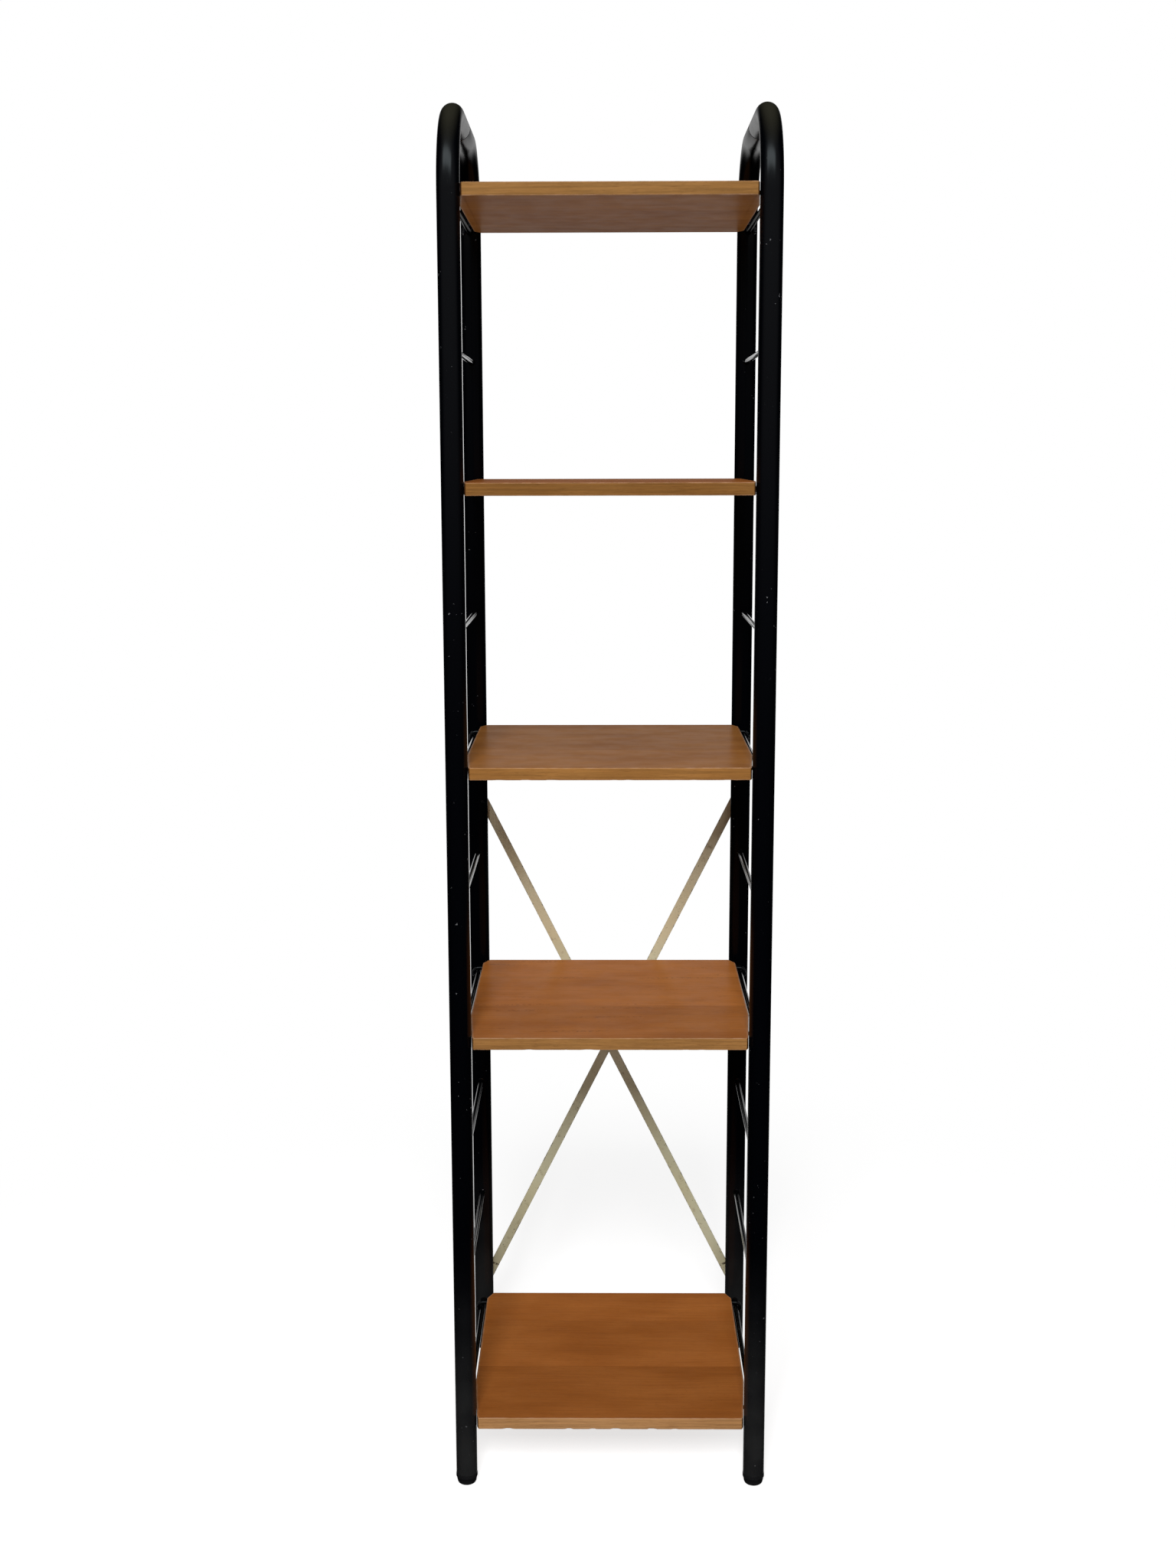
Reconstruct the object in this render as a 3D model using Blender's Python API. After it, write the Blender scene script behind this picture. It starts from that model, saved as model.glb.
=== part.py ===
"""A free-standing ladder-frame bookcase.

Two ladders of bent steel tube carry lift-off veneered shelves on thin rungs, and two crossed flat strips
brace the back. Units are metres, +Z is up, +X is to the viewer's right and the front faces -Y.
The origin lies on the floor, under the middle of the bookcase's bounding box.
"""

import math

import bmesh
import bpy
from mathutils import Matrix, Vector

# Fits
SEAT_GAP = 0.0003

# Ladder frames
TUBE_DIAMETER = 0.032
TUBE_WALL = 0.0015
FRAME_SPACING = 0.438
FRAME_DEPTH = 0.436
BEND_RADIUS = 0.115
BEND_RISE = 0.007
JOINT_GAP = 0.003
SPIGOT_LENGTH = 0.045
SWAGE_LENGTH = 0.008
SWAGE_SETBACK = 0.004
TUBE_SIDES = 24
BEND_STEPS = 9

# Rungs, counted from the floor up
LOWEST_RUNG = 0.094
RUNG_PITCH = 0.200
RUNG_DIAMETER = 0.008
WELD_WIDTH = 0.0014
WELD_LENGTH = 0.0025
RUNG_SIDES = 10

# Shelf boards, each on the rungs of this number
SHELF_RUNGS = (0, 3, 5, 7, 9)
BOARD_THICKNESS = 0.018
BOARD_FRONT_REACH = 0.011
BOARD_FRONT_CLEARANCE = 0.003
BOARD_SIDE_CLEARANCE = 0.0045
BOARD_REAR_CLEARANCE = 0.005
FRONT_CORNER_RUN = 0.089
REAR_CORNER_ACROSS = 0.009
REAR_CORNER_DEEP = 0.020
EDGE_ROUND = 0.0012
EDGE_STEPS = 2

# Shelf hooks
HOOK_DIAMETER = 0.006
HOOK_PIN_DEPTH = 0.030
HOOK_SETBACK = 0.024
HOOK_DROP = 0.007
HOOK_TIP_ROUND = 0.001
HOOK_SIDES = 8
HOOK_BEND_STEPS = 5

# Rear brace
BRACE_WIDTH = 0.015
BRACE_THICKNESS = 0.002
BRACE_END_MARGIN = 0.009
BRACE_BOTTOM_RISE = 0.017
BRACE_TOP_PITCHES = 4.5
BRACE_END_STEPS = 6
BRACE_BOW_STEPS = 8

# Brace screws
SCREW_DIAMETER = 0.004
SCREW_HEAD_DIAMETER = 0.008
SCREW_HEAD_HEIGHT = 0.0026
SCREW_CROWN_DIAMETER = 0.005
SCREW_RIM_HEIGHT = 0.0013
SCREW_REACH = 0.006
SCREW_POINT = 0.001
SCREW_SIDES = 12

# Feet
FOOT_HEIGHT = 0.016
FOOT_COLLAR_HEIGHT = 0.005
FOOT_COLLAR_OVERHANG = 0.00075
FOOT_BASE_INSET = 0.0025
FOOT_FILLET = 0.003
FOOT_PLUG_LENGTH = 0.025
FOOT_PLUG_CHAMFER = 0.0015
FOOT_SIDES = 20
FOOT_FILLET_STEPS = 3

# Sizes that follow from those above
TUBE_RADIUS = TUBE_DIAMETER / 2
BORE_RADIUS = TUBE_RADIUS - TUBE_WALL
SPIGOT_RADIUS = BORE_RADIUS - SEAT_GAP
SPIGOT_BORE_RADIUS = SPIGOT_RADIUS - TUBE_WALL
RUNG_RADIUS = RUNG_DIAMETER / 2
HOOK_RADIUS = HOOK_DIAMETER / 2
FRAME_X = FRAME_SPACING / 2
FRAME_Y = FRAME_DEPTH / 2
RUNG_COUNT = SHELF_RUNGS[-1] + 1
TUBE_FOOT = FOOT_HEIGHT + SEAT_GAP
BEND_START = LOWEST_RUNG + (RUNG_COUNT - 1) * RUNG_PITCH + BEND_RISE
HOOK_RISE = RUNG_RADIUS + SEAT_GAP + HOOK_RADIUS
HOOK_Y = FRAME_Y - TUBE_RADIUS - HOOK_SETBACK
BOARD_SIDE_X = FRAME_X - RUNG_RADIUS - BOARD_SIDE_CLEARANCE
BOARD_FRONT_X = FRAME_X - TUBE_RADIUS - BOARD_FRONT_CLEARANCE
BOARD_FRONT_Y = -FRAME_Y - BOARD_FRONT_REACH
BOARD_REAR_Y = FRAME_Y - TUBE_RADIUS - BOARD_REAR_CLEARANCE
BRACE_TOP_Z = LOWEST_RUNG + BRACE_TOP_PITCHES * RUNG_PITCH
BRACE_BOTTOM_Z = LOWEST_RUNG + BRACE_BOTTOM_RISE
BRACE_FRONT_Y = FRAME_Y + TUBE_RADIUS + SEAT_GAP
BRACE_HALF_SPAN = math.hypot(FRAME_X, (BRACE_TOP_Z - BRACE_BOTTOM_Z) / 2)
BRACE_BOW = (BRACE_THICKNESS + SEAT_GAP) / 2
SCREW_SEAT_Y = BRACE_FRONT_Y + BRACE_THICKNESS + SEAT_GAP
SCREW_SHANK = SCREW_SEAT_Y - FRAME_Y - BORE_RADIUS + SCREW_REACH
SCREW_HOLE_RADIUS = SCREW_DIAMETER / 2 + SEAT_GAP
REAR_OVERHANG = SCREW_SEAT_Y + SCREW_HEAD_HEIGHT - FRAME_Y - TUBE_RADIUS
CENTRE_SHIFT = (FOOT_COLLAR_OVERHANG - REAR_OVERHANG) / 2

SMOOTH_ANGLE = math.radians(35)
MERGE_DISTANCE = 0.00001
SIDES = {"left": -1, "right": 1}
ENDS = {"front": -1, "rear": 1}


def clear_scene():
    for item in list(bpy.data.objects):
        bpy.data.objects.remove(item, do_unlink=True)


def make_material(name, colour, roughness, metallic=0.0):
    material = bpy.data.materials.new(name)
    material.use_nodes = True
    shader = material.node_tree.nodes["Principled BSDF"]
    shader.inputs["Base Color"].default_value = (*colour, 1)
    shader.inputs["Roughness"].default_value = roughness
    shader.inputs["Metallic"].default_value = metallic
    return material


def finish_mesh(bm, name, material=None):
    """Turns a finished bmesh into a smooth-shaded mesh with sharp corners."""
    bmesh.ops.recalc_face_normals(bm, faces=bm.faces)
    mesh = bpy.data.meshes.new(name)
    bm.to_mesh(mesh)
    bm.free()
    mesh.shade_smooth()
    mesh.set_sharp_from_angle(angle=SMOOTH_ANGLE)
    if material:
        mesh.materials.append(material)
    return mesh


def place(name, mesh, parent, location=(0, 0, 0), turn=(0, 0, 0)):
    piece = bpy.data.objects.new(name, mesh)
    bpy.context.scene.collection.objects.link(piece)
    piece.parent = parent
    piece.location = location
    piece.rotation_euler = turn
    return piece


def cut_with(piece, name, mesh, location=(0, 0, 0)):
    """Cuts a hole in a piece with a helper that rides on it."""
    cutter = place(name, mesh, piece, location)
    cutter.hide_render = True
    cutter.display_type = "WIRE"
    modifier = piece.modifiers.new(name, "BOOLEAN")
    modifier.operation = "DIFFERENCE"
    modifier.solver = "EXACT"
    modifier.object = cutter


def edges_among(bm, verts):
    kept = set(verts)
    return [edge for edge in bm.edges if edge.verts[0] in kept and edge.verts[1] in kept]


def verts_in(geometry):
    return [item for item in geometry if isinstance(item, bmesh.types.BMVert)]


def start_ring(bm, sides, radius, centre, normal):
    """A circle of edges, from which a round bar or one skin of a tube is drawn out."""
    facing = Vector((0, 0, 1)).rotation_difference(Vector(normal)).to_matrix().to_4x4()
    matrix = Matrix.Translation(centre) @ facing
    return bmesh.ops.create_circle(bm, segments=sides, radius=radius, matrix=matrix)["verts"]


def draw_out(bm, ring, step, scale=1.0):
    """Extrudes a ring by a step, widens or narrows it about its centre, and gives the new ring."""
    ring = verts_in(bmesh.ops.extrude_edge_only(bm, edges=edges_among(bm, ring))["geom"])
    bmesh.ops.translate(bm, verts=ring, vec=step)
    centre = sum((vert.co for vert in ring), Vector()) / len(ring)
    bmesh.ops.scale(bm, verts=ring, vec=(scale,) * 3, space=Matrix.Translation(-centre))
    return ring


def bend_round(bm, ring, centre, axis, angle, steps):
    """Sweeps a ring round a bend and gives the ring at its end."""
    geometry = list(ring) + edges_among(bm, ring)
    turned = bmesh.ops.spin(bm, geom=geometry, cent=centre, axis=axis, angle=angle, steps=steps)
    return verts_in(turned["geom_last"])


def cap_ends(bm):
    return bmesh.ops.holes_fill(bm, edges=bm.edges)["faces"]


def close_wall(bm, outer, inner):
    """Joins the rings of a tube's two skins with a flat end, each vertex to the nearest one."""
    partner = {vert: min(inner, key=lambda other: (other.co - vert.co).length_squared) for vert in outer}
    for first, second in [edge.verts[:] for edge in edges_among(bm, outer)]:
        bm.faces.new((first, second, partner[second], partner[first]))


def turned_mesh(name, profile, sides, material):
    """Turns a profile of (radius, height) points, which starts and ends on the Z axis, into a solid."""
    bm = bmesh.new()
    verts = [bm.verts.new((radius, 0, height)) for radius, height in profile]
    edges = [bm.edges.new(pair) for pair in zip(verts, verts[1:])]
    bmesh.ops.spin(bm, geom=verts + edges, axis=(0, 0, 1), angle=math.tau, steps=sides, use_merge=True)
    bmesh.ops.remove_doubles(bm, verts=bm.verts, dist=MERGE_DISTANCE)
    return finish_mesh(bm, name, material)


def drill_mesh(name, radius, length, axis, sides):
    """A round cutter, centred on its own origin."""
    bm = bmesh.new()
    axis = Vector(axis)
    ring = start_ring(bm, sides, radius, -axis * length / 2, axis)
    draw_out(bm, ring, axis * length)
    cap_ends(bm)
    return finish_mesh(bm, name)


def tube_skin(bm, radius):
    """One skin of a front tube: up the leg and round the bend. Gives its first and last rings."""
    foot = start_ring(bm, TUBE_SIDES, radius, (0, -FRAME_Y, TUBE_FOOT), (0, 0, 1))
    ring = draw_out(bm, foot, (0, 0, BEND_START - TUBE_FOOT))
    bend_centre = (0, BEND_RADIUS - FRAME_Y, BEND_START)
    return foot, bend_round(bm, ring, bend_centre, (1, 0, 0), -math.pi / 2, BEND_STEPS)


def tube_mesh(name, material, has_spigot):
    """A hollow front tube, from its foot to the seam in the middle of the arch."""
    bm = bmesh.new()
    top_run = FRAME_Y - BEND_RADIUS - JOINT_GAP / 2
    outer_foot, outer_end = tube_skin(bm, TUBE_RADIUS)
    inner_foot, inner_end = tube_skin(bm, BORE_RADIUS)
    outer_end = draw_out(bm, outer_end, (0, top_run, 0))
    if has_spigot:
        outer_end = draw_out(bm, outer_end, (0, 0, 0), SPIGOT_RADIUS / TUBE_RADIUS)
        outer_end = draw_out(bm, outer_end, (0, JOINT_GAP + SPIGOT_LENGTH, 0))
        inner_end = draw_out(bm, inner_end, (0, top_run - SWAGE_SETBACK - SWAGE_LENGTH, 0))
        inner_end = draw_out(bm, inner_end, (0, SWAGE_LENGTH, 0), SPIGOT_BORE_RADIUS / BORE_RADIUS)
        inner_end = draw_out(bm, inner_end, (0, SWAGE_SETBACK + JOINT_GAP + SPIGOT_LENGTH, 0))
    else:
        inner_end = draw_out(bm, inner_end, (0, top_run, 0))
    close_wall(bm, outer_foot, inner_foot)
    close_wall(bm, outer_end, inner_end)
    return finish_mesh(bm, name, material)


def add_tubes(root, material):
    """Front tubes with a swaged spigot, and rear tubes with their brace screw holes."""
    front_mesh = tube_mesh("front_tube", material, has_spigot=True)
    rear_mesh = tube_mesh("rear_tube", material, has_spigot=False)
    drill = drill_mesh("tube_drill", SCREW_HOLE_RADIUS, TUBE_DIAMETER, (0, 1, 0), SCREW_SIDES)
    for side, across in SIDES.items():
        place(f"{side}_front_tube", front_mesh, root, (across * FRAME_X, 0, 0))
        rear = place(f"{side}_rear_tube", rear_mesh, root, (across * FRAME_X, 0, 0), (0, 0, math.pi))
        for level, height in (("upper", BRACE_TOP_Z), ("lower", BRACE_BOTTOM_Z)):
            cut_with(rear, f"{side}_{level}_tube_hole", drill, (0, -FRAME_Y - TUBE_RADIUS, height))


def rung_mesh(material):
    """A rung with a small weld at each end, coped to fit round the tube."""
    bm = bmesh.new()
    weld_radius = RUNG_RADIUS + WELD_WIDTH
    half_length = FRAME_Y - TUBE_RADIUS - SEAT_GAP
    ring = start_ring(bm, RUNG_SIDES, weld_radius, (0, -half_length, 0), (0, 1, 0))
    ring = draw_out(bm, ring, (0, WELD_LENGTH, 0), RUNG_RADIUS / weld_radius)
    ring = draw_out(bm, ring, (0, 2 * (half_length - WELD_LENGTH), 0))
    draw_out(bm, ring, (0, WELD_LENGTH, 0), weld_radius / RUNG_RADIUS)
    bmesh.ops.poke(bm, faces=cap_ends(bm))
    for vert in bm.verts:
        if abs(vert.co.y) > half_length - WELD_LENGTH / 2:
            seat = FRAME_Y - math.sqrt((TUBE_RADIUS + SEAT_GAP) ** 2 - vert.co.x**2)
            vert.co.y = math.copysign(seat, vert.co.y)
    return finish_mesh(bm, "rung", material)


def add_rungs(root, material):
    mesh = rung_mesh(material)
    for side, across in SIDES.items():
        for number in range(RUNG_COUNT):
            height = LOWEST_RUNG + number * RUNG_PITCH
            place(f"{side}_rung_{number + 1:02}", mesh, root, (across * FRAME_X, 0, height))


def foot_profile():
    """Plug in the tube, collar under the tube's end, then a taper to a filleted base."""
    plug_radius = BORE_RADIUS - SEAT_GAP
    plug_top = FOOT_HEIGHT + FOOT_PLUG_LENGTH
    collar_radius = TUBE_RADIUS + FOOT_COLLAR_OVERHANG
    base_radius = TUBE_RADIUS - FOOT_BASE_INSET
    profile = [
        (0, plug_top),
        (plug_radius - FOOT_PLUG_CHAMFER, plug_top),
        (plug_radius, plug_top - FOOT_PLUG_CHAMFER),
        (plug_radius, FOOT_HEIGHT),
        (collar_radius, FOOT_HEIGHT),
        (collar_radius, FOOT_HEIGHT - FOOT_COLLAR_HEIGHT),
    ]
    for step in range(FOOT_FILLET_STEPS + 1):
        angle = math.pi / 2 * step / FOOT_FILLET_STEPS
        radius = base_radius - FOOT_FILLET * (1 - math.cos(angle))
        profile.append((radius, FOOT_FILLET * (1 - math.sin(angle))))
    return profile + [(0, 0)]


def add_feet(root, material):
    mesh = turned_mesh("foot", foot_profile(), FOOT_SIDES, material)
    for side, across in SIDES.items():
        for end, along in ENDS.items():
            place(f"{side}_{end}_foot", mesh, root, (across * FRAME_X, along * FRAME_Y, 0))


def board_mesh(material):
    """A shelf board, centred on its own thickness, with clipped corners and eased edges."""
    right_side = [
        (BOARD_FRONT_X, BOARD_FRONT_Y),
        (BOARD_SIDE_X, TUBE_RADIUS + FRONT_CORNER_RUN - FRAME_Y),
        (BOARD_SIDE_X, BOARD_REAR_Y - REAR_CORNER_DEEP),
        (BOARD_SIDE_X - REAR_CORNER_ACROSS, BOARD_REAR_Y),
    ]
    outline = right_side + [(-x, y) for x, y in reversed(right_side)]
    bm = bmesh.new()
    underside = bm.faces.new([bm.verts.new((x, y, -BOARD_THICKNESS / 2)) for x, y in outline])
    raised = verts_in(bmesh.ops.extrude_face_region(bm, geom=[underside])["geom"])
    bmesh.ops.translate(bm, verts=raised, vec=(0, 0, BOARD_THICKNESS))
    level = [edge for edge in bm.edges if edge.verts[0].co.z == edge.verts[1].co.z]
    bmesh.ops.bevel(
        bm, geom=level, offset=EDGE_ROUND, segments=EDGE_STEPS, profile=0.5, affect="EDGES", material=-1
    )
    return finish_mesh(bm, "board", material)


def hook_mesh(material):
    """A hook on the right: its pin runs in along -X, and it bends over a rung on its own origin."""
    bm = bmesh.new()
    reach = RUNG_RADIUS + BOARD_SIDE_CLEARANCE + HOOK_PIN_DEPTH
    ring = start_ring(bm, HOOK_SIDES, HOOK_RADIUS, (-reach, 0, HOOK_RISE), (1, 0, 0))
    ring = draw_out(bm, ring, (reach, 0, 0))
    ring = bend_round(bm, ring, (0, 0, 0), (0, 1, 0), math.pi / 2, HOOK_BEND_STEPS)
    ring = draw_out(bm, ring, (0, 0, HOOK_TIP_ROUND - HOOK_DROP))
    draw_out(bm, ring, (0, 0, -HOOK_TIP_ROUND), 1 - HOOK_TIP_ROUND / HOOK_RADIUS)
    cap_ends(bm)
    return finish_mesh(bm, "hook", material)


def add_shelves(root, board_material, hook_material):
    """Each shelf is a board with four hooks, which lifts straight up off its rungs."""
    board = board_mesh(board_material)
    hook = hook_mesh(hook_material)
    hole_depth = HOOK_PIN_DEPTH + SEAT_GAP
    drill = drill_mesh("board_drill", HOOK_RADIUS + SEAT_GAP, 2 * hole_depth, (1, 0, 0), SCREW_SIDES)
    for number, rung in enumerate(SHELF_RUNGS, start=1):
        lift = place(f"shelf_{number}_lift", None, root, (0, 0, LOWEST_RUNG + rung * RUNG_PITCH))
        shelf = place(f"shelf_{number}_board", board, lift, (0, 0, HOOK_RISE))
        for side, across in SIDES.items():
            turn = (0, 0, 0 if across > 0 else math.pi)
            for end, along in ENDS.items():
                corner = f"shelf_{number}_{end}_{side}"
                place(f"{corner}_hook", hook, lift, (across * FRAME_X, along * HOOK_Y, 0), turn)
                cut_with(shelf, f"{corner}_hole", drill, (across * BOARD_SIDE_X, along * HOOK_Y, 0))


def brace_mesh(name, bow, material):
    """A flat strip along X with round ends, bowed so that it passes the other strip in the middle."""
    bm = bmesh.new()
    round_radius = BRACE_WIDTH / 2
    round_x = BRACE_HALF_SPAN + BRACE_END_MARGIN - round_radius
    outline = []
    for along in (1, -1):
        for step in range(BRACE_END_STEPS + 1):
            angle = math.pi * (step / BRACE_END_STEPS - 0.5)
            x = round_x + round_radius * math.cos(angle)
            outline.append((along * x, 0, along * round_radius * math.sin(angle)))
    face = bm.faces.new([bm.verts.new(point) for point in outline])
    back = verts_in(bmesh.ops.extrude_face_region(bm, geom=[face])["geom"])
    bmesh.ops.translate(bm, verts=back, vec=(0, BRACE_THICKNESS, 0))
    for step in range(1, BRACE_BOW_STEPS):
        x = BRACE_HALF_SPAN * (2 * step / BRACE_BOW_STEPS - 1)
        everything = bm.verts[:] + bm.edges[:] + bm.faces[:]
        bmesh.ops.bisect_plane(bm, geom=everything, plane_co=(x, 0, 0), plane_no=(1, 0, 0))
    for vert in bm.verts:
        vert.co.y += bow * (1 - (vert.co.x / BRACE_HALF_SPAN) ** 2)
    return finish_mesh(bm, name, material)


def add_brace(root, material):
    """Two crossed strips behind the rear tubes. The one that falls to the right passes in front."""
    slope = math.atan2((BRACE_TOP_Z - BRACE_BOTTOM_Z) / 2, FRAME_X)
    middle = (0, BRACE_FRONT_Y, (BRACE_TOP_Z + BRACE_BOTTOM_Z) / 2)
    drill = drill_mesh("brace_drill", SCREW_HOLE_RADIUS, 4 * BRACE_THICKNESS, (0, 1, 0), SCREW_SIDES)
    for name, turn, bow in (("falling", slope, -BRACE_BOW), ("rising", -slope, BRACE_BOW)):
        mesh = brace_mesh(f"brace_{name}", bow, material)
        strip = place(f"brace_strip_{name}", mesh, root, middle, (0, turn, 0))
        for side, across in SIDES.items():
            cut_with(strip, f"brace_{name}_{side}_hole", drill, (across * BRACE_HALF_SPAN, 0, 0))


def screw_profile():
    """A pan head above the seat at height 0, and a shank with a blunt point below it."""
    head_radius = SCREW_HEAD_DIAMETER / 2
    shank_radius = SCREW_DIAMETER / 2
    return [
        (0, SCREW_HEAD_HEIGHT),
        (SCREW_CROWN_DIAMETER / 2, SCREW_HEAD_HEIGHT),
        (head_radius, SCREW_RIM_HEIGHT),
        (head_radius, 0),
        (shank_radius, 0),
        (shank_radius, SCREW_POINT - SCREW_SHANK),
        (shank_radius - SCREW_POINT, -SCREW_SHANK),
        (0, -SCREW_SHANK),
    ]


def add_screws(root, material):
    mesh = turned_mesh("screw", screw_profile(), SCREW_SIDES, material)
    for side, across in SIDES.items():
        for level, height in (("upper", BRACE_TOP_Z), ("lower", BRACE_BOTTOM_Z)):
            seat = (across * FRAME_X, SCREW_SEAT_Y, height)
            place(f"brace_screw_{level}_{side}", mesh, root, seat, (-math.pi / 2, 0, 0))


def build():
    clear_scene()
    root = place("bookcase", None, None, (0, CENTRE_SHIFT, 0))
    add_tubes(root, make_material("tube_enamel", (0.006, 0.006, 0.008), 0.22))
    add_rungs(root, make_material("rung_enamel", (0.007, 0.007, 0.009), 0.28))
    add_feet(root, make_material("foot_plastic", (0.016, 0.016, 0.017), 0.55))
    board_veneer = make_material("board_veneer", (0.24, 0.105, 0.043), 0.35)
    add_shelves(root, board_veneer, make_material("hook_enamel", (0.008, 0.008, 0.009), 0.35))
    add_brace(root, make_material("brace_enamel", (0.50, 0.42, 0.28), 0.45))
    add_screws(root, make_material("screw_zinc", (0.55, 0.54, 0.52), 0.35, metallic=1.0))


build()
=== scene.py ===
"""The dressed bookcase: every piece that shows, its finish, and the plain studio it stands in."""
import math

import bmesh
import bpy
from mathutils import Matrix, Vector, noise


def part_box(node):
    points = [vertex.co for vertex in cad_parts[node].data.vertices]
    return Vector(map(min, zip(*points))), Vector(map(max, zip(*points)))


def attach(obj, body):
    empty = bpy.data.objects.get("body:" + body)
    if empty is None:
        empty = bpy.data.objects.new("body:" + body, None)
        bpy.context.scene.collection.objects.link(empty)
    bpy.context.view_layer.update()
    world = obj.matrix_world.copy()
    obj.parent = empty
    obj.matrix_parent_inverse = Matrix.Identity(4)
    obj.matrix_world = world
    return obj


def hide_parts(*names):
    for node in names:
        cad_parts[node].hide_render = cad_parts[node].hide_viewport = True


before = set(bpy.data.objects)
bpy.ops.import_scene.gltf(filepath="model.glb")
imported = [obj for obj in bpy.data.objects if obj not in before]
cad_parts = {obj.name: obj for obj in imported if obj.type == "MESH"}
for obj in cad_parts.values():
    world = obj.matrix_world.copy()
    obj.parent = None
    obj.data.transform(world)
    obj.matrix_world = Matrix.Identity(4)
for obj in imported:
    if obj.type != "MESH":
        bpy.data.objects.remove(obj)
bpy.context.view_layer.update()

# Frame tubes
# Four 32 mm steel tubes, bent cold and enamelled black. A front and a rear tube make each ladder: both rise,
# bend over and meet in the middle of the arch, where the front tube's swaged end plugs into the rear one.
SIDES = {"left": -1, "right": 1}
ENDS = {"front": -1, "rear": 1}
rear_tube_low, rear_tube_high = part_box("right_rear_tube")
TUBE_RADIUS = (rear_tube_high.x - rear_tube_low.x) / 2
TUBE_X = (rear_tube_high.x + rear_tube_low.x) / 2
TUBE_FOOT_Z = rear_tube_low.z
REAR_LEG_Y = rear_tube_high.y - TUBE_RADIUS
FRONT_LEG_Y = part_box("right_front_tube")[0].y + TUBE_RADIUS
LADDER_Y = (FRONT_LEG_Y + REAR_LEG_Y) / 2
HALF_DEPTH = (REAR_LEG_Y - FRONT_LEG_Y) / 2
BEND_RADIUS = 0.115
BEND_Z = rear_tube_high.z - TUBE_RADIUS - BEND_RADIUS
BORE_RADIUS = 0.0145
SPIGOT_RADIUS = 0.0142
SPIGOT_LENGTH = 0.045
SEAM_GAP = 0.003
FOOT_BORE_DEPTH = 0.030
RIM_ROUND = 0.0004
RIM_ROUND_STEPS = 3
TUBE_SIDES = 64
BEND_STEPS = 30
SMOOTH_ANGLE = math.radians(35)
ENAMEL_BLACK = (0.0004, 0.0006, 0.0013)
ENAMEL_DUSTY = (0.028, 0.028, 0.028)
ENAMEL_SCUFF = (0.11, 0.11, 0.115)
# A light olive painted highlight for the upward faces of the arch tops.
ENAMEL_PAINTED_HIGHLIGHT = (0.024, 0.023, 0.016)
ENAMEL_ROUGHNESS = 0.55
TUBE_SHINE = 0.58
REAR_LEG_SHINE = 0.22
TUBE_BLUR = 0.25
BARE_DARK = (0.0015, 0.0015, 0.0016)
BARE_LIGHT = (0.004, 0.0037, 0.0034)
BARE_PATCHES = 300.0
DUST_PATCHES = 18.0
DUST_DULLS = 0.35
MARK_DETAIL = 3.0
MARK_ROUGHNESS = 0.6
MARK_SOFTNESS = 0.03
MARK_PATCH_SCALE = 0.13
RIPPLE_PEEL = 700.0
RIPPLE_WAVES = 90.0
RIPPLE_WAVE_PART = 1.5
RIPPLE_DETAIL = 1.0
# Pairs, here and in later sections: EDGES, RISE, SLOPE and REACH are the ends of a soft step, SHARE, SPAN and
# WORN what it goes from and to, MARKS a scale and a level, and BUMP a strength and a depth.
CLOUD_EDGES = (0.3, 0.7)
BARE_EDGES = (0.35, 0.65)
BARE_ROUGHNESS_SPAN = (0.6, 0.8)
ARCH_HIGHLIGHT_SLOPE = (0.35, 0.95)
ARCH_HIGHLIGHT_RISE = (1.90, 1.96)
ARCH_RISE = (1.86, 1.93)
DUST_RISE = (0.4, 0.0)
DUST_SHARE = (0.42, 0.68)
GLOSS_WORN = (1.0, 0.3)
MARK_PATCH_EDGES = (0.5, 0.6)
TUBE_MARKS = (150.0, 0.69)
ENAMEL_BUMP = (0.06, 0.0004)


def feed(tree, socket, value):
    """Links a socket to another one, or sets its own value."""
    if isinstance(value, bpy.types.NodeSocket):
        tree.links.new(value, socket)
    elif socket.type == "RGBA":
        socket.default_value = (*value, 1)
    else:
        socket.default_value = value


def add_node(tree, kind, inputs=None, **settings):
    made = tree.nodes.new(kind)
    for name, value in settings.items():
        setattr(made, name, value)
    for socket, value in (inputs or {}).items():
        feed(tree, made.inputs[socket], value)
    return made


def calculate(tree, operation, *values):
    return add_node(tree, "ShaderNodeMath", dict(enumerate(values)), operation=operation).outputs[0]


def ease(tree, value, low, high, to_low=0.0, to_high=1.0):
    """A soft step from to_low to to_high as the value goes from low to high."""
    ends = {"Value": value, "From Min": low, "From Max": high, "To Min": to_low, "To Max": to_high}
    return add_node(tree, "ShaderNodeMapRange", ends, interpolation_type="SMOOTHSTEP").outputs[0]


def tint(tree, share, first, second, mode="MIX"):
    """The second colour over the first one, by a share."""
    mixer = add_node(tree, "ShaderNodeMix", data_type="RGBA", blend_type=mode)
    feed(tree, mixer.inputs[0], share)
    feed(tree, mixer.inputs[6], first)
    feed(tree, mixer.inputs[7], second)
    return mixer.outputs[2]


def blend(tree, share, first, second):
    """A value that goes softly from the first to the second as a share goes from 0 to 1."""
    return ease(tree, share, 0.0, 1.0, first, second)


def part_of(tree, vector, axis):
    return add_node(tree, "ShaderNodeSeparateXYZ", {0: vector}).outputs[axis]


def cloud(tree, vector, scale, detail=2.0, roughness=0.5):
    """A soft noise of so many patches a metre."""
    sockets = {"Vector": vector, "Scale": scale, "Detail": detail, "Roughness": roughness}
    return add_node(tree, "ShaderNodeTexNoise", sockets).outputs[0]


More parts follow.
